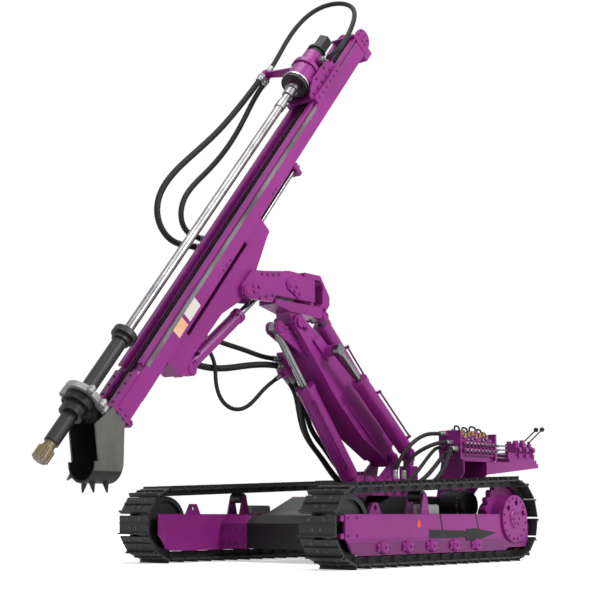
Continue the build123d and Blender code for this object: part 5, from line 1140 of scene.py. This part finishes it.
def dress_pivots():
    for body in sorted({pivot[0] for pivot in PIVOTS}):
        spots = [(ground_point(x, side * y, z), LEFT * side, Vector(way), size)
                 for owner, x, z, y, way, size in PIVOTS if owner == body for side, label in SIDES]
        spread(f"{body}_pin_caps", spots, PIN_CAP, PAINT, body)
    keepers, bolts = [], []
    for side, label in SIDES:
        for x, z, way in ARM_PINS:
            keepers += spots_at([(x, side * ARM_FACE_Y, z)], LEFT * side, Vector(way), 1.0)
        bolts += spots_at([(x, side * ARM_FACE_Y, z) for x, z in ARM_BOLTS], LEFT * side, AHEAD, 0.010)
    spread("arm_keepers", keepers, KEEPER, PAINT, "arm")
    spread("arm_bolts", bolts, BOLT, PAINT_DARK, "arm", 1.3)
    ring = [(YOKE_BOLT_X + x, y, 2.470) for x, y in circle(0.062, 8)]
    spread("yoke_bolts", spots_at(ring, UP, AHEAD, 0.010), BOLT, PAINT_DARK, "yoke")


dress_pivots()

# Mast: feed chain, wear strips, bolts, blank plates, the centralizer's screws and the bit's buttons

CHAIN_PITCH = 0.050
CHAIN_COUNT = 90
CHAIN_HEIGHT = 0.011
MAST_DEPTH = 0.145
MAST_HALF = 0.130
RAIL_FOOT_S = 0.440
CAP_ROWS = (4.655, 4.720, 4.780)
SIDE_BOLTS = (  # T, Y, distances up the mast, bolt size
    (0.050, 0.114, CAP_ROWS, 0.009), (0.105, 0.114, CAP_ROWS, 0.009), (0.170, 0.114, CAP_ROWS, 0.009),
    (0.020, 0.130, (1.60, 1.66, 1.72, 2.55, 2.61), 0.008))
EARS = ((0.425, 0.152), (0.425, -0.152), (0.280, 0.144), (0.280, -0.144), (0.215, 0.108), (0.215, -0.108))
BLANK_PLATES = (("blank_plate_upper", (1.01, 1.19, 0.025, 0.128), LABEL_CREAM),
                ("blank_plate_lower", (0.83, 0.975, 0.025, 0.118), LABEL_ORANGE))
BIT_FACE_S = -0.650
BUTTON_SIZE = 0.0085


def chain_unit():
    """One link of the feed chain: four side plates and two rollers, with Z off the mast and X along it."""
    upright = Matrix.Rotation(math.pi / 2, 4, "X")
    outline = arc_points((-0.013, 0), 0.010, 90, 270, 7) + arc_points((0.013, 0), 0.010, -90, 90, 7)
    shapes = []
    for y in (-0.020, 0.020, -0.012, 0.012):
        shapes.append(plate(outline, -0.0015, 0.0015))
        shapes[-1].transform(Matrix.Translation((0, y, CHAIN_HEIGHT)) @ upright)
    for x in (-0.0125, 0.0125):
        shapes.append(turned([(0.007, -0.018), (0.007, 0.018)], 10))
        shapes[-1].transform(Matrix.Translation((x, 0, CHAIN_HEIGHT)) @ upright)
    return as_mesh("chain_unit", joined(*shapes))


def dress_mast():
    steps = [(MAST_DEPTH, 0, 0.06 + (i + 0.5) * CHAIN_PITCH) for i in range(CHAIN_COUNT)]
    links = spots_on_mast(steps, AHEAD_OF_MAST, ALONG_MAST, 1.0)
    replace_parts(spread("feed_chain_links", links, chain_unit(), CHAIN_STEEL, "mast"), "feed_chain")
    front = axes_at(mast_point(MAST_DEPTH, 0, 0), AHEAD_OF_MAST, ALONG_MAST)
    bolts = []
    for side, label in SIDES:
        strip = plate(oblong(RAIL_FOOT_S, 4.60, -side * 0.1295, -side * 0.117), 0.0, 0.004, 0.001)
        add_piece(f"wear_strip_{label}", strip, front, STRIP_GREY, "mast")
        band = plate(oblong(RAIL_FOOT_S, 3.62, side * 0.112, side * 0.143), 0.0, 0.0018)
        flank = axes_at(mast_point(0, side * MAST_HALF, 0), LEFT * side, ALONG_MAST)
        add_piece(f"side_band_{label}", band, flank, STRIP_GREY, "mast")
        for at, y, rows, size in SIDE_BOLTS:
            bolts += spots_on_mast([(at, side * y, s) for s in rows], LEFT * side, ALONG_MAST, size)
        for at in (0.00, 0.07, 0.14):
            bolts += spots_on_mast([(at, side * 0.142, -0.030)], -ALONG_MAST, LEFT, 0.013)
            bolts += spots_on_mast([(at, side * 0.142, 0.0)], ALONG_MAST, LEFT, 0.013)
        rail = [(0.187, side * 0.088, s) for s in (0.04, 0.13, 0.22, 0.30)]
        bolts += spots_on_mast(rail, AHEAD_OF_MAST, ALONG_MAST, 0.008)
    spread("mast_bolts", bolts, BOLT, PAINT_DARK, "mast", 1.25)
    flank = axes_at(mast_point(0, MAST_HALF, 0), LEFT, ALONG_MAST)
    for name, outline, material in BLANK_PLATES:
        add_piece(name, plate(oblong(*outline), 0.0, 0.0015), flank, material, "mast")
    ears = spots_on_mast([(*ear, -0.047) for ear in EARS], ALONG_MAST, LEFT, 0.015)
    ears += spots_on_mast([(*ear, -0.095) for ear in EARS], -ALONG_MAST, LEFT, 0.015)
    spread("centralizer_bolts", ears, BOLT, SILVER, "mast")
    spread("housing_bolts", ring_on_mast(-0.165, 0.105, 10, -1, 0.008, 0.3), CAP_SCREW, DARK_STEEL, "mast")
    spread("bush_bolts", ring_on_mast(0.570, 0.082, 8, 1, 0.008, 0.3), CAP_SCREW, DARK_STEEL, "mast")
    buttons = ring_on_mast(BIT_FACE_S, 0.050, 9, -1, BUTTON_SIZE)
    buttons += ring_on_mast(BIT_FACE_S, 0.027, 5, -1, BUTTON_SIZE, 0.4)
    buttons += spots_on_mast([(DRILL_T, 0, BIT_FACE_S)], -ALONG_MAST, LEFT, BUTTON_SIZE)
    spread("bit_buttons", buttons, BUTTON, STEEL, "drill_string")


dress_mast()

# Cylinders: a pipe along each barrel, with its end fittings

CYLINDERS = (  # barrel, foot and eye in X and Z, Y, radius, the pipe's ends as shares, its offset left and up
    ("tilt_barrel", (-0.431, 1.451), (0.262, 2.120), 0, 0.075, 0.17, 0.58, 0.075, 0.062),
    ("side_barrel", (-0.712, 0.950), (0.295, 1.804), 0.27, 0.070, 0.12, 0.56, 0.075, 0.060),
    ("lift_barrel", (-0.220, 0.690), (0.820, 1.960), 0, 0.082, 0.12, 0.55, 0.085, -0.055),
    ("dump_barrel", (1.889, 1.510), (0.950, 2.285), 0, 0.056, 0.14, 0.60, 0.060, 0.045))
PIPE_BEND = 0.04


def dress_cylinder(name, foot, eye, y, radius, low, high, left, lift):
    start, end = ground_point(foot[0], y, foot[1]), ground_point(eye[0], y, eye[1])
    way = (end - start).normalized()
    above = way.cross(LEFT).normalized()
    if above.z < 0:
        above = -above
    off = LEFT * left + above * lift
    near = off.normalized() * (radius - 0.004)
    first, last = start + (end - start) * low, start + (end - start) * high
    points = [first + near, first + off, first + way * PIPE_BEND + off, last - way * PIPE_BEND + off,
              last + off, last + near]
    add_pipe(name + "_pipe", points, 0.009, PAINT_DARK, name)
    skin = off.normalized() * (radius - 0.002)
    ends = [(place + skin, off, way, 0.017) for place in (first, last)]
    spread(name + "_fittings", ends, FITTING, PAINT_DARK, name)


for cylinder in CYLINDERS:
    dress_cylinder(*cylinder)

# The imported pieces' own finishes

NODE_FINISHES = (
    (PAINT, ("sprocket_left", "sprocket_right", "track_frame_left", "track_frame_right", "boom_post",
             "side_knuckle", "boom", "lift_barrel", "side_barrel", "tilt_barrel", "dump_barrel", "yoke",
             "arm", "cradle", "slide_barrel", "mast", "mast_flange", "mast_cap", "carriage", "head_case",
             "pedestal", "valve_bank", "pilot_block", "power_block")),
    (CHROME, ("lift_rod", "side_rod", "tilt_rod", "dump_rod", "slide_rod")),
    (TRACK, ("track_left", "track_right")),
    (DARK_STEEL, ("idler_left", "idler_right", "rollers_left", "rollers_right", "hammer", "guide_bush",
                  "feed_chain")),
    (FOOT_GREY, ("foot",)),
    (FRAME_PAINT, ("main_frame",)),
    (BLACK, ("head_motor", "guide_housing", "pilot_levers", "hose_block")),
    (GREY, ("centralizer",)),
    (STEEL, ("drill_rod", "pilot_pipes")),
    (BIT_STEEL, ("bit",)))

for material, names in NODE_FINISHES:
    for name in names:
        if name in NODES:
            NODES[name].data.materials.clear()
            NODES[name].data.materials.append(material)
